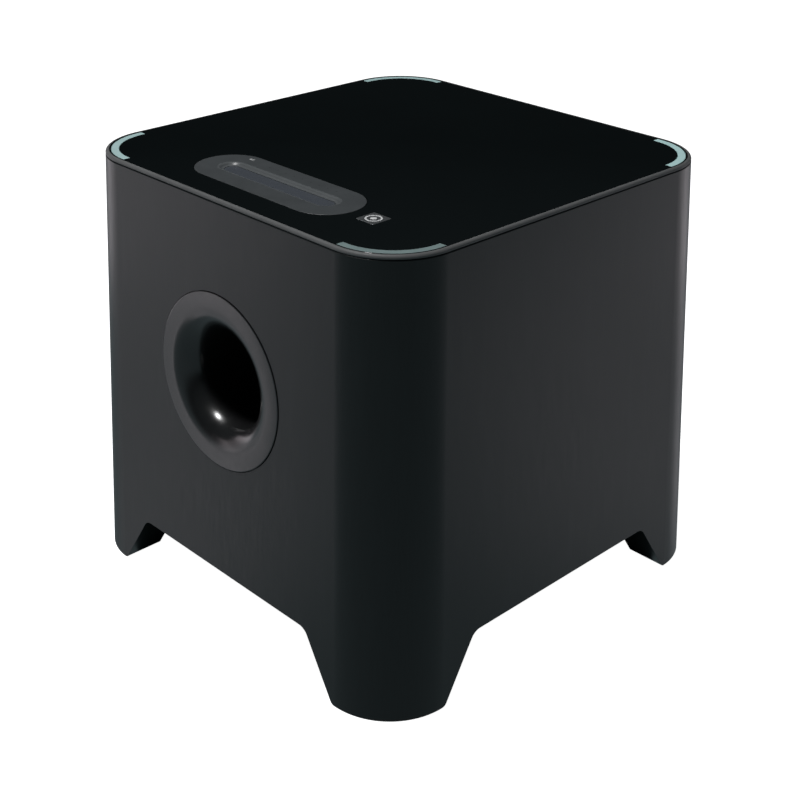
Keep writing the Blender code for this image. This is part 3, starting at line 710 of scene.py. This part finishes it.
# ---- top
def make_top_frame(look):
    """The moulded rim round the top, and the tray that carries the panel."""
    levels = [(TRAY_INSET, TOP_RECESS_Z + GAP), (TRAY_INSET, SEAM_Z)]
    levels += [(i, SEAM_Z + d) for i, d in reversed(rounding(0.0007, 4))]
    levels += [(i, HEIGHT - d) for i, d in rounding(RIM_ROUND, 9)]
    levels += [(RIM_LIP, HEIGHT - 0.0001), (RIM_LIP, TRAY_TOP)]
    mesh = loft([(cabinet_outline(z, inset), z) for inset, z in levels])
    window = stadium(shrunk(SKIRT_SIZE, -GAP))
    mesh = carve(mesh, prism(window, 0.298, HEIGHT))
    # The rim's light grey colour is a painted highlight.
    build("top_rim", mesh, look["rim_black"], ["top_frame"])


def light_band(inner, outer, grown, place, start):
    """The outline of one corner light, grown at its ends by an angle."""
    return arc_band(inner, outer, start - grown, start + pi / 2 + grown, place)


def make_top_panel(look):
    """The gloss panel, let round the touch controls, the corner lights and the badge."""
    inset = RIM_LIP + GAP
    rings = [(cabinet_outline(PANEL_TOP, inset), PANEL_BOTTOM)]
    rings += [
        (cabinet_outline(PANEL_TOP, inset + i), PANEL_TOP - d) for i, d in rounding(0.0003, 3)
    ]
    tools = [prism(stadium(shrunk(CONTROL_SIZE, -GAP)), *TOP_CUT)]
    side = BADGE_SIDE + 2 * GAP
    pocket = rectangle(side, side, BADGE_CENTRE, corner=0.0008)
    tools.append(prism(pocket, PANEL_TOP - 0.001, TOP_CUT[1]))
    middle = corner_centre(HEIGHT)
    slots = []
    for i, (name, (sx, sy)) in enumerate(CORNERS.items()):
        place = (sx * middle, sy * middle)
        start = i * pi / 2
        band = light_band(LIGHT_INNER, LIGHT_OUTER, LIGHT_PAST, place, start)
        light = prism(band, PANEL_BOTTOM, PANEL_TOP)
        light = eased(light, 0.00025, lambda a, b: min(a.z, b.z) > PANEL_TOP - NEAR)
        build("light_guide_" + name, light, look["light_teal_" + name],
              ["corner_light_" + name])
        past = LIGHT_PAST + GAP / LIGHT_INNER
        slot = light_band(LIGHT_INNER - GAP, LIGHT_OUTER + GAP, past, place, start)
        slots.append(prism(slot, *TOP_CUT))
    tools.append(joined(slots))
    build("gloss_panel", carve(loft(rings), *tools), look["gloss_black"], ["top_panel"])


def make_badge(look):
    """A blank tile with a plain raised ring and dot."""
    rings = [(rectangle(BADGE_SIDE, BADGE_SIDE, BADGE_CENTRE, 0.0008), PANEL_TOP - 0.0007)]
    for i, d in rounding(0.0002, 3):
        side = BADGE_SIDE - 2 * i
        rings.append((rectangle(side, side, BADGE_CENTRE, 0.0008), PANEL_TOP - d))
    build("badge_tile", loft(rings), look["badge_metal"], ["emblem_badge"])
    ring = turned([(0.0042, -0.0002), (0.0042, 0.00008), (0.0044, 0.00014), (0.0052, 0.00014),
                   (0.0054, 0.00008), (0.0054, -0.0002)])
    boss = turned([(0, -0.0002), (0.002, -0.0002), (0.002, 0.00008), (0.0018, 0.00014),
                   (0, 0.00014)])
    ring = joined([ring, boss])
    build("badge_ring", moved(ring, at(*BADGE_CENTRE, PANEL_TOP)), look["ink_white"])


def make_controls(look):
    """The touch panel, the curved wall of its finger groove and the strip under it."""
    levels = [(SKIRT_SIZE, SKIRT_BOTTOM), (SKIRT_SIZE, PANEL_BOTTOM), (CONTROL_SIZE, PANEL_BOTTOM)]
    levels += [(shrunk(CONTROL_SIZE, i), CONTROL_TOP - d) for i, d in rounding(0.0004, 4)]
    levels += [(GROOVE_TOP, CONTROL_TOP), (GROOVE_TOP, SKIRT_BOTTOM)]
    mesh = loft([(stadium(size), z) for size, z in levels], closed=True)
    build("touch_panel", mesh, look["control_grey"], ["control_panel"])

    width = (GROOVE_TOP[0] - GROOVE_FLOOR[0]) / 2
    steepest = 2 * atan((CONTROL_TOP - STRIP_LAND_TOP) / width)
    bend = width / 2 / sin(steepest)
    turns = [steepest * k / 10 for k in range(11)]
    slope = [(bend * sin(a), CONTROL_TOP - bend * (1 - cos(a))) for a in turns]
    slope += [(width - x, STRIP_LAND_TOP + CONTROL_TOP - z) for x, z in slope[-2::-1]]
    levels = [(shrunk(GROOVE_TOP, x), z) for x, z in slope]
    levels += [(GROOVE_FLOOR, SKIRT_BOTTOM), (GROOVE_TOP, SKIRT_BOTTOM)]
    mesh = loft([(stadium(size), z) for size, z in levels], closed=True)
    # Its lighter grey is painted light on the groove's walls.
    build("groove_wall", mesh, look["groove_grey_painted_light"], angle=60)
    strip_top = SKIRT_BOTTOM - GAP
    base = stadium((0.116, 0.024))
    rings = [(base, TOP_RECESS_Z + GAP), (base, strip_top), (stadium(STRIP_LAND), strip_top)]
    for i, d in rounding(0.0003, 3):
        rings.append((stadium(shrunk(STRIP_LAND, i)), STRIP_LAND_TOP - d))
    build("groove_floor", loft(rings), look["strip_grey"], ["touch_strip"])


def make_signs(look):
    """A plain loudspeaker sign and a row of small marks, printed on the touch panel."""
    x, y = -0.047, -0.0866
    box = [(x - 0.0017, y - 0.0006), (x - 0.0008, y - 0.0006), (x + 0.0002, y - 0.0014),
           (x + 0.0002, y + 0.0014), (x - 0.0008, y + 0.0006), (x - 0.0017, y + 0.0006)]
    low = CONTROL_TOP - INK
    parts = [prism(box, low, HEIGHT)]
    for radius in (0.001, 0.0018):
        band = arc_band(radius, radius + 0.0003, -0.8, 0.8, (x, y), 8)
        parts.append(prism(band, low, HEIGHT))
    build("sound_sign", joined(parts), look["ink_white"])
    places = [(-0.026 + 0.008 * i, -0.0885) for i in range(9)]
    marks = [prism(circle(0.0004, place, 16), low, HEIGHT) for place in places]
    build("level_marks", joined(marks), look["black_plastic"])


# ---- bass port
def make_port(look):
    """The flared mouth in the front wall, the tube behind it and its flared inner end."""
    mouth = THROAT_R + FLARE_R
    back = FLANGE_PROUD - FLARE_R
    flare = arc(FLARE_R, pi, pi / 2, 20, (mouth, back))
    socket = back - 0.012
    rim = [(FLANGE_R - 0.0006, FLANGE_PROUD), (FLANGE_R, FLANGE_PROUD - 0.0003)]
    profile = [
        (THROAT_R, socket), *flare, *rim, (FLANGE_R, -0.0022), (0.051, -0.0022),
        (0.047, -0.008), (THROAT_R + 2 * TUBE_WALL, back - 0.001),
        (THROAT_R + TUBE_WALL, socket)
    ]
    mesh = moved(turned(profile[::-1], 128), FRONT)
    build("port_mouth_ring", mesh, look["port_black"], ["port_flange"], angle=50)
    tube_end = -PORT_LENGTH + 0.015
    tube = [(THROAT_R + TUBE_WALL, tube_end), (THROAT_R + TUBE_WALL, socket - GAP)]
    tube += [(THROAT_R, socket - GAP), (THROAT_R, tube_end)]
    build("port_pipe", moved(turned(tube), FRONT), look["port_black"], ["port_tube"])
    steps = 10
    inner, outer = [], []
    for k in range(steps + 1):
        turn = pi / 2 * k / steps
        z = tube_end - GAP - (PORT_LENGTH + tube_end - GAP) * sin(turn)
        inner.append((THROAT_R + 0.012 * (1 - cos(turn)), z))
        outer.append((THROAT_R + TUBE_WALL + 0.0095 * (1 - cos(turn)),
                      z + TUBE_WALL * sin(turn)))
    mesh = moved(turned(inner + outer[::-1]), FRONT)
    build("port_inner_bell", mesh, look["port_black"], ["port_inner_flare"], angle=50)


# ---- woofer
def make_basket(look):
    """The woofer's stamped basket, with windows between its four spokes."""
    outside = [
        (0.1042, 0.0392), (FLANGE_OUTER, 0.0397), (FLANGE_OUTER, 0.0412), (0.0915, 0.0412),
        (0.089, 0.052), (0.068, 0.079), (0.0575, 0.08), (0.056, 0.099), (0.025, 0.099)
    ]
    inside = [
        (0.025, 0.0975), (0.0545, 0.0975), (0.056, 0.0785), (0.067, 0.0775),
        (0.0875, 0.0515), (0.088, 0.0395), (0.0883, 0.0392)
    ]
    half_turn = 0.55
    windows = []
    for i in range(4):
        middle = pi / 2 * i
        band = arc_band(0.064, 0.1, middle - half_turn, middle + half_turn, (0, 0), 16)
        windows.append(prism(band, 0.0535, 0.0745))
    holes = [prism(circle(0.0024, place, 24), 0.03, 0.05) for place in woofer_screw_places()]
    mesh = carve(turned(outside + inside), joined(windows), joined(holes))
    build("basket_frame", mesh, look["black_steel"], ["woofer_basket"])


def woofer_screw_places():
    return arc(SCREW_RING_R, pi / 4, 9 * pi / 4, 4)[:-1]


def screw_mesh(head_r, head_h, shank_r, shank_l):
    """A pan-head screw with a cross recess, head up, seated at z = 0."""
    crown = [
        (head_r * cos(a), head_h * (0.25 + 0.75 * sin(a)))
        for a in [pi / 2 * k / 8 for k in range(9)]
    ]
    profile = [(0, -shank_l), (shank_r, -shank_l), (shank_r, 0)]
    profile += [(head_r, 0), *crown[:-1], (0, head_h)]
    mesh = turned(profile, 40)
    arm, slot = head_r * 0.52, head_r * 0.13
    floor, above = head_h * 0.35, head_h * 1.1
    tools = [
        loft([(rectangle(x, y), floor), (rectangle(2 * x, 2 * y), above)])
        for x, y in ((arm, slot), (slot, arm))
    ]
    return carve(mesh, *tools)


def make_woofer_screws(look):
    over = Matrix.Rotation(pi, 4, "X")
    for number, (x, y) in enumerate(woofer_screw_places(), 1):
        mesh = moved(screw_mesh(0.0038, 0.0015, 0.0019, 0.0165), at(x, y, 0.0389) @ over)
        build(f"driver_screw_{number}", mesh, look["black_steel"], [f"woofer_screw_{number}"])


def make_cone(look):
    """The pressed cone with a gentle curve and two ribs, and the dust cap on it."""
    steps = 30
    faces = ([], [])
    for k in range(steps + 1):
        t = k / steps
        radius = CONE_NECK[0] + (CONE_EDGE[0] - CONE_NECK[0]) * t
        sag = 0.0012 * sin(pi * t)
        rib = 0.0004 * sum(exp(-((t - place) / 0.03) ** 2) for place in (0.45, 0.7))
        z = CONE_NECK[1] + (CONE_EDGE[1] - CONE_NECK[1]) * t + sag - rib
        faces[0].append((radius, z))
        faces[1].append((radius, z - 0.001))
    mesh = turned(faces[0] + faces[1][::-1])
    build("cone_body", mesh, look["cone_paper"], ["woofer_cone"], body="cone")
    outside, inside = [], []
    for k in range(17):
        t = k / 16
        z = 0.0572 + 0.0086 * (1 - cos(pi / 2 * t))
        outside.append((0.03 * sin(pi / 2 * t), z))
        inside.append((0.0292 * sin(pi / 2 * t), z + 0.0008))
    mesh = turned(outside + inside[::-1])
    build("dust_dome", mesh, look["cone_paper"], ["woofer_dust_cap"], body="cone")


def surround_profile():
    """The half roll from the cone's edge to the basket, as (radius, z), lower side first."""
    roll_centre, roll, wall = (0.083, 0.0388), 0.006, 0.001
    low = arc(roll, pi, 2 * pi, 14, roll_centre)
    high = arc(roll - wall, 2 * pi, pi, 14, roll_centre)
    flat_in, flat_out = roll_centre[0] - roll, roll_centre[0] + roll
    lower = [(0.072, 0.039), (flat_in - 0.0004, 0.039), *low, (flat_out + 0.0004, 0.0379)]
    upper = [(flat_out, 0.0389), *high, (flat_in, 0.0401), (0.072, 0.0401)]
    return lower + [(0.094, 0.0379), (0.094, 0.0389)] + upper


def spider_profile():
    """The corrugated cloth behind the cone, as (radius, z), lower side first."""
    inner, steps = COIL_R + 0.0007, 48
    shares = [k / steps for k in range(steps + 1)]
    wave = [(inner + (SPIDER_R - inner) * t, SPIDER_Z + 0.0011 * sin(4 * pi * t))
            for t in shares]
    return wave + [(radius, z + 0.0006) for radius, z in reversed(wave)]


def flexing_ring(name, profile, look, node):
    """A ring of wedges round Z, put in place of its CAD node and baked where it stands."""
    wedges, steps = 24, 4
    wedge = 2 * pi / wedges
    for i in range(wedges):
        bm = bmesh.new()
        rows = []
        for k in range(steps + 1):
            turn = (i + k / steps) * wedge
            rows.append([bm.verts.new((r * cos(turn), r * sin(turn), z)) for r, z in profile])
        for near, far in zip(rows, rows[1:]):
            for j in range(len(near)):
                n = (j + 1) % len(near)
                bm.faces.new((near[j], near[n], far[n], far[j]))
        bm.faces.new(rows[0][::-1])
        bm.faces.new(rows[-1])
        nodes = [node] if i == 0 else ()
        obj = build(f"{name}_{i + 1:02d}", finished_mesh(bm), look, nodes, ride=False)
        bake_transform(obj)


def make_suspension(look):
    """The rubber surround and the cloth spider that hold the cone."""
    flexing_ring("surround", surround_profile(), look["rubber"], "woofer_surround")
    flexing_ring("spider", spider_profile(), look["spider_cloth"], "woofer_spider")


# ---- amplifier
def on_rear(x, y, z=0.0):
    return REAR @ at(x, y, z)


def make_amp_plate(look):
    """The powder-coated connector plate, its screws and the printed dials."""
    side = 2 * AMP_HALF
    outline = rectangle(side, side, corner=AMP_CORNER - 0.0005, steps=8)
    mesh = prism(outline, PLATE_BACK, PLATE_FACE)
    openings = [rectangle(0.0278, 0.0208, INLET_PLACE, 0.0015),
                rectangle(0.0134, 0.0194, SWITCH_PLACE, 0.0008),
                rectangle(0.0096, 0.0052, PHASE_PLACE, 0.0006)]
    openings += [circle(0.0038, place, 32) for place in KNOBS.values()]
    openings += [circle(0.0046, place, 32) for place in JACKS.values()]
    tools = [prism(outline, *PLATE_CUT) for outline in openings]
    mesh = carve(mesh, joined(tools))
    mesh = eased(mesh, 0.0004, lambda a, b: min(a.z, b.z) > PLATE_FACE - NEAR)
    build("connector_plate", moved(mesh, REAR), look["black_steel"], ["amp_plate"])
    seat = PLATE_FACE + GAP
    for number, (sx, sy) in enumerate(((-1, -1), (-1, 1), (1, -1), (1, 1)), 1):
        mesh = screw_mesh(0.0036, 0.002, 0.0017, 0.0088)
        mesh = moved(mesh, on_rear(sx * AMP_SCREW, sy * AMP_SCREW, seat))
        build(f"plate_screw_{number}", mesh, look["black_steel"], [f"amp_screw_{number}"])
    ticks = []
    for x, y in KNOBS.values():
        for k in range(11):
            turn = radians(90 + 150 - 30 * k)
            reach = (0.012, 0.0145 if k % 5 == 0 else 0.0135)
            middle = sum(reach) / 2
            tick = prism(rectangle(reach[1] - reach[0], 0.0004), -DIAL_INK, DIAL_INK)
            spot = at(x + middle * cos(turn), y + middle * sin(turn), PLATE_FACE)
            ticks.append(moved(tick, spot @ Matrix.Rotation(turn, 4, "Z")))
    build("dial_ticks", moved(joined(ticks), REAR), look["ink_white"])


def make_knobs(look):
    """Two fluted knobs with a pointer line."""
    face = PLATE_FACE + GAP
    for name, (x, y) in KNOBS.items():
        knob = name + "_knob"
        flutes = 24
        skirt = []
        for i in range(flutes * 8):
            turn = 2 * pi * i / (flutes * 8)
            dip = 0.00035 * (0.5 + 0.5 * cos(flutes * turn)) ** 2
            skirt.append((cos(turn), sin(turn), dip))

        def ring(radius, share):
            return [(c * (radius - d * share), s * (radius - d * share)) for c, s, d in skirt]

        rings = [(ring(0.0095, 0), face + 0.0002), (ring(0.0095, 0), face + 0.0012),
                 (ring(0.0094, 1), face + 0.0016), (ring(0.0089, 1), face + 0.0088)]
        rings += [(ring(0.0089 - i, 1 - k / 4), face + 0.0098 - d)
                  for k, (i, d) in enumerate(rounding(0.0009, 4))]
        rings += [(ring(0.007, 0), face + 0.0098), (ring(0.0068, 0), face + 0.0096)]
        cap = loft(rings)
        shaft = disc(0.003, PLATE_BACK - GAP - 0.007, face + 0.0004, 32)
        mesh = moved(joined([cap, shaft]), on_rear(x, y))
        build(knob + "_cap", mesh, look["black_plastic"], [knob], body=knob)
        line = prism(rectangle(0.0007, 0.0055, (0, 0.0037)), face + 0.0094, face + 0.00965)
        build(knob + "_line", moved(line, on_rear(x, y)), look["ink_white"], body=knob)


def make_jacks(look):
    """Two gold-plated line jacks with coloured insulators."""
    behind = PLATE_BACK - GAP
    face = PLATE_FACE + GAP
    for name, (x, y) in JACKS.items():
        barrel = [(0.0041, behind - 0.012), (0.0041, face + 0.0081), (0.0038, face + 0.0085),
                  (0.0035, face + 0.0085), (0.0033, face + 0.0083), (0.0033, behind - 0.012)]
        washer = [(0.0064, face), (0.0064, face + 0.0012), (0.006, face + 0.0016),
                  (0.0041, face + 0.0016), (0.0041, face)]
        mesh = joined([turned(barrel, 64), turned(washer, 64)])
        build(f"{name}_jack_sleeve", moved(mesh, on_rear(x, y)), look["jack_plating"],
              [f"line_jack_{name}"])
        core = [(0.0031, behind - 0.0115), (0.0031, face + 0.007), (0.0029, face + 0.0072),
                (0.0016, face + 0.0072), (0.0016, face - 0.002), (0.001, face - 0.002),
                (0.001, behind - 0.0115)]
        colour = look["jack_white" if name == "left" else "jack_red"]
        build(f"{name}_jack_insulator", moved(turned(core, 48), on_rear(x, y)), colour)


def bezel_rings(size, corner, low, high, radius):
    """Rings for a frame between two heights, its upper edge rounded."""
    rings = [(rectangle(*size, corner=corner), low)]
    for i, d in rounding(radius, 3):
        rings.append((rectangle(*shrunk(size, i), corner=corner), high - d))
    return rings


def make_inlet(look):
    """The mains inlet with its shrouded recess and three pins."""
    face = PLATE_FACE + GAP
    body = rectangle(0.0272, 0.0202, corner=0.0012)
    rings = [(body, -0.024), (body, face)]
    mesh = loft(rings + bezel_rings((0.031, 0.024), 0.002, face, face + 0.002, 0.0006))
    tool = loft([(inlet_socket(0.0), -0.02), (inlet_socket(0.0), face + 0.0016),
                 (inlet_socket(0.0008), face + 0.003)])
    mesh = moved(carve(mesh, tool), on_rear(*INLET_PLACE))
    build("mains_socket", mesh, look["black_plastic"], ["power_inlet"])
    pins = []
    for x, y in ((-0.007, -0.002), (0.007, -0.002), (0, 0.002)):
        pin = rectangle(0.002, 0.004, (x, y), 0.0004)
        tip = rectangle(0.0012, 0.0032, (x, y), 0.0003)
        pins.append(loft([(pin, -0.0205), (pin, -0.006), (tip, -0.0052)]))
    build("mains_pins", moved(joined(pins), on_rear(*INLET_PLACE)), look["pin_metal"])


def inlet_socket(grown):
    """The socket's outline: a rectangle with its two upper corners cut off."""
    x, y, cut = 0.012 + grown, 0.0085 + grown, 0.004
    return [(-x, -y), (x, -y), (x, y - cut), (x - cut, y), (-x + cut, y), (-x, y - cut)]


def make_switches(look):
    """The rocker switch with its signs, and the phase slider."""
    face = PLATE_FACE + GAP
    body = rectangle(0.0128, 0.0188, corner=0.0006)
    mouth = rectangle(0.0096, 0.016, corner=0.0004)
    front = face + 0.0012
    rings = [(body, -0.02), (body, face)]
    rings += bezel_rings((0.015, 0.021), 0.001, face, front, 0.0005)
    rings += [(mouth, front), (mouth, -0.013)]
    mesh = moved(loft(rings), on_rear(*SWITCH_PLACE))
    build("switch_bezel", mesh, look["black_plastic"], ["power_switch_body"])
    dip = [(0.0072 * cos(a), 0.0024 + 0.0014 * cos(a) ** 2)
           for a in [pi - pi * k / 16 for k in range(17)]]
    rocker = [(-0.0072, 0.0008), *dip, (0.0072, 0.0008), (0.003, -0.0045), (-0.003, -0.0045)]
    tilt = Matrix.Rotation(-ROCKER_TILT, 4, "X")
    place = on_rear(*SWITCH_PLACE, ROCKER_AXIS_Z) @ tilt
    mesh = eased(run_along_x(rocker[::-1], 0.0044), 0.00025)
    build("rocker_paddle", moved(mesh, place), look["black_plastic"], ["power_rocker"],
          body="power_rocker")
    bar = moved(prism(rectangle(0.0005, 0.0024), -0.00004, 0.00012), at(0, 0.005, 0.0031))
    ring = [(0.0009, -0.0001), (0.0009, 0.0001), (0.0013, 0.0001), (0.0013, -0.0001)]
    ring = moved(turned(ring, 40), at(0, -0.005, 0.0031))
    build("rocker_signs", moved(joined([bar, ring]), place), look["ink_white"],
          body="power_rocker")

    x, y = PHASE_PLACE
    top = face + 0.0022
    bottom = PLATE_BACK - GAP - 0.0057
    profile = [(-0.0021, bottom), (0.0021, bottom), (0.0021, top)]
    for k in range(3):
        left = 0.0014 - 0.0014 * k
        profile += [(left, top), (left - 0.0003, top - 0.0004)]
        profile += [(left - 0.0004, top - 0.0004), (left - 0.0007, top)]
    turn = Matrix.Rotation(-pi / 2, 4, "Z")
    mesh = moved(run_along_x(profile, 0.0019), on_rear(x - PHASE_TRAVEL / 2, y) @ turn)
    build("phase_lever", mesh, look["black_plastic"], ["phase_slider"], body="phase_slider")


# ---- carried-over nodes
def finish_carried_nodes(look):
    """Every CAD node that keeps its shape gets the finer material of its slot."""
    slots = {part["node"]: part["material_slot"] for part in frame["record"]["subparts"]}
    for name, obj in frame["nodes"].items():
        if obj.hide_render:
            continue
        material = look[slots[name]]
        for place in obj.material_slots:
            place.material = material


# ---- studio
def aimed(obj, place, target):
    obj.location = place
    direction = Vector(target) - Vector(place)
    obj.rotation_euler = direction.to_track_quat("-Z", "Y").to_euler()


def softbox(name, azimuth, distance, height, size, watts, target=(0, 0, 0.15)):
    """A soft rectangular light standing at an azimuth, in degrees from +X towards +Y."""
    data = bpy.data.lights.new(name, "AREA")
    data.shape = "RECTANGLE"
    data.size, data.size_y = size
    data.energy = watts
    obj = added(name, data)
    turn = radians(azimuth)
    aimed(obj, (distance * cos(turn), distance * sin(turn), height), target)
    obj.visible_camera = False
    return data


def make_studio():
    """A small high lamp, soft boxes for the light off a table, the room and the table."""
    softbox("key", -120, 0.6, 2.1, (0.25, 0.25), 26, (0, 0, 0.2))
    low, middle = -0.3, 0.15
    wide, narrow = (0.36, 0.45), (0.12, 0.45)
    for name, azimuth, height, size, watts in (
        ("left_low", -145, low, wide, 0.135),
        ("left_middle", -145, middle, wide, 0.235),
        ("left_edge", -165, middle, wide, 0.57),
        ("right_low", 45, low + 0.08, wide, 0.21),
        ("right_middle", 60, middle, wide, 0.24),
        ("right_edge", 75, middle, wide, 0.46),
        ("right_edge_low", 75, low + 0.08, wide, 0.26),
        ("left_near_low", -133, low, narrow, 0.11),
        ("left_near", -133, middle, narrow, 0.15),
    ):
        softbox(name, azimuth, 1.0, height, size, watts).color = BOX_COLOUR

    world = bpy.data.worlds.new("studio")
    bpy.context.scene.world = world
    world.use_nodes = True
    tree = world.node_tree
    way = add_node(tree, "TexCoord").outputs["Generated"]
    upness = add_node(tree, "SeparateXYZ", {"Vector": way}).outputs["Z"]
    levels = []
    for span in ((-0.15, 0.1, 0.2, 0.014), (0.29, 0.37, 0.0, 0.02)):
        inputs = dict(zip(("From Min", "From Max", "To Min", "To Max"), span))
        made = add_node(tree, "MapRange", {**inputs, "Value": upness})
        levels.append(made.outputs["Result"])
    total = add_node(tree, "Math", dict(enumerate(levels)), operation="ADD")
    room = tree.nodes["Background"]
    room.inputs["Color"].default_value = ROOM_COLOUR
    tree.links.new(total.outputs[0], room.inputs["Strength"])
    backdrop = add_node(tree, "Background", {"Color": (1, 1, 1, 1)})
    mix = add_node(tree, "MixShader", {
        "Fac": add_node(tree, "LightPath").outputs["Is Camera Ray"],
        1: room.outputs["Background"],
        2: backdrop.outputs["Background"],
    })
    tree.links.new(mix.outputs["Shader"], tree.nodes["World Output"].inputs["Surface"])

    bm = bmesh.new()
    bmesh.ops.create_grid(bm, x_segments=8, y_segments=8, size=6)
    floor = added("table", finished_mesh(bm))
    s = Surface("table_white", (0.85, 0.85, 0.85), 0.7, specular=0.0)
    s.tint(s.noise(0.3), 0.01)
    s.set("Emission Color", (1, 1, 1, 1))
    s.set("Emission Strength", 1.0)
    floor.data.materials.append(s.material)
    floor.visible_glossy = floor.visible_diffuse = floor.visible_shadow = False

    painted_shade = added("table_shade", prism(cabinet_outline(0, 0.012), -0.004, -0.002))
    s = Surface("table_in_shade", (0.02, 0.02, 0.02), 0.9, specular=0.0)
    s.tint(s.noise(0.1), 0.05)
    painted_shade.data.materials.append(s.material)
    painted_shade.visible_camera = False


def make_camera():
    data = bpy.data.cameras.new("camera")
    data.lens = CAMERA_LENS
    data.sensor_width = 36
    data.shift_y = CAMERA_SHIFT
    data.clip_start = 0.01
    data.clip_end = 50
    camera = added("camera", data)
    turn = Matrix.Rotation(CAMERA_YAW, 4, "Z") @ Matrix.Rotation(pi / 2 - CAMERA_PITCH, 4, "X")
    camera.matrix_world = at(*CAMERA_PLACE) @ turn @ Matrix.Rotation(CAMERA_ROLL, 4, "Z")
    bpy.context.scene.camera = camera


def main():
    make_camera()
    look = make_looks()
    for make in (
        make_cabinet, make_foot_pads, make_top_frame, make_top_panel, make_badge, make_controls,
        make_signs, make_port, make_basket, make_woofer_screws, make_cone, make_suspension,
        make_amp_plate, make_knobs, make_jacks, make_inlet, make_switches, finish_carried_nodes
    ):
        make(look)
    make_studio()
    bpy.context.scene.view_settings.view_transform = "Standard"


main()
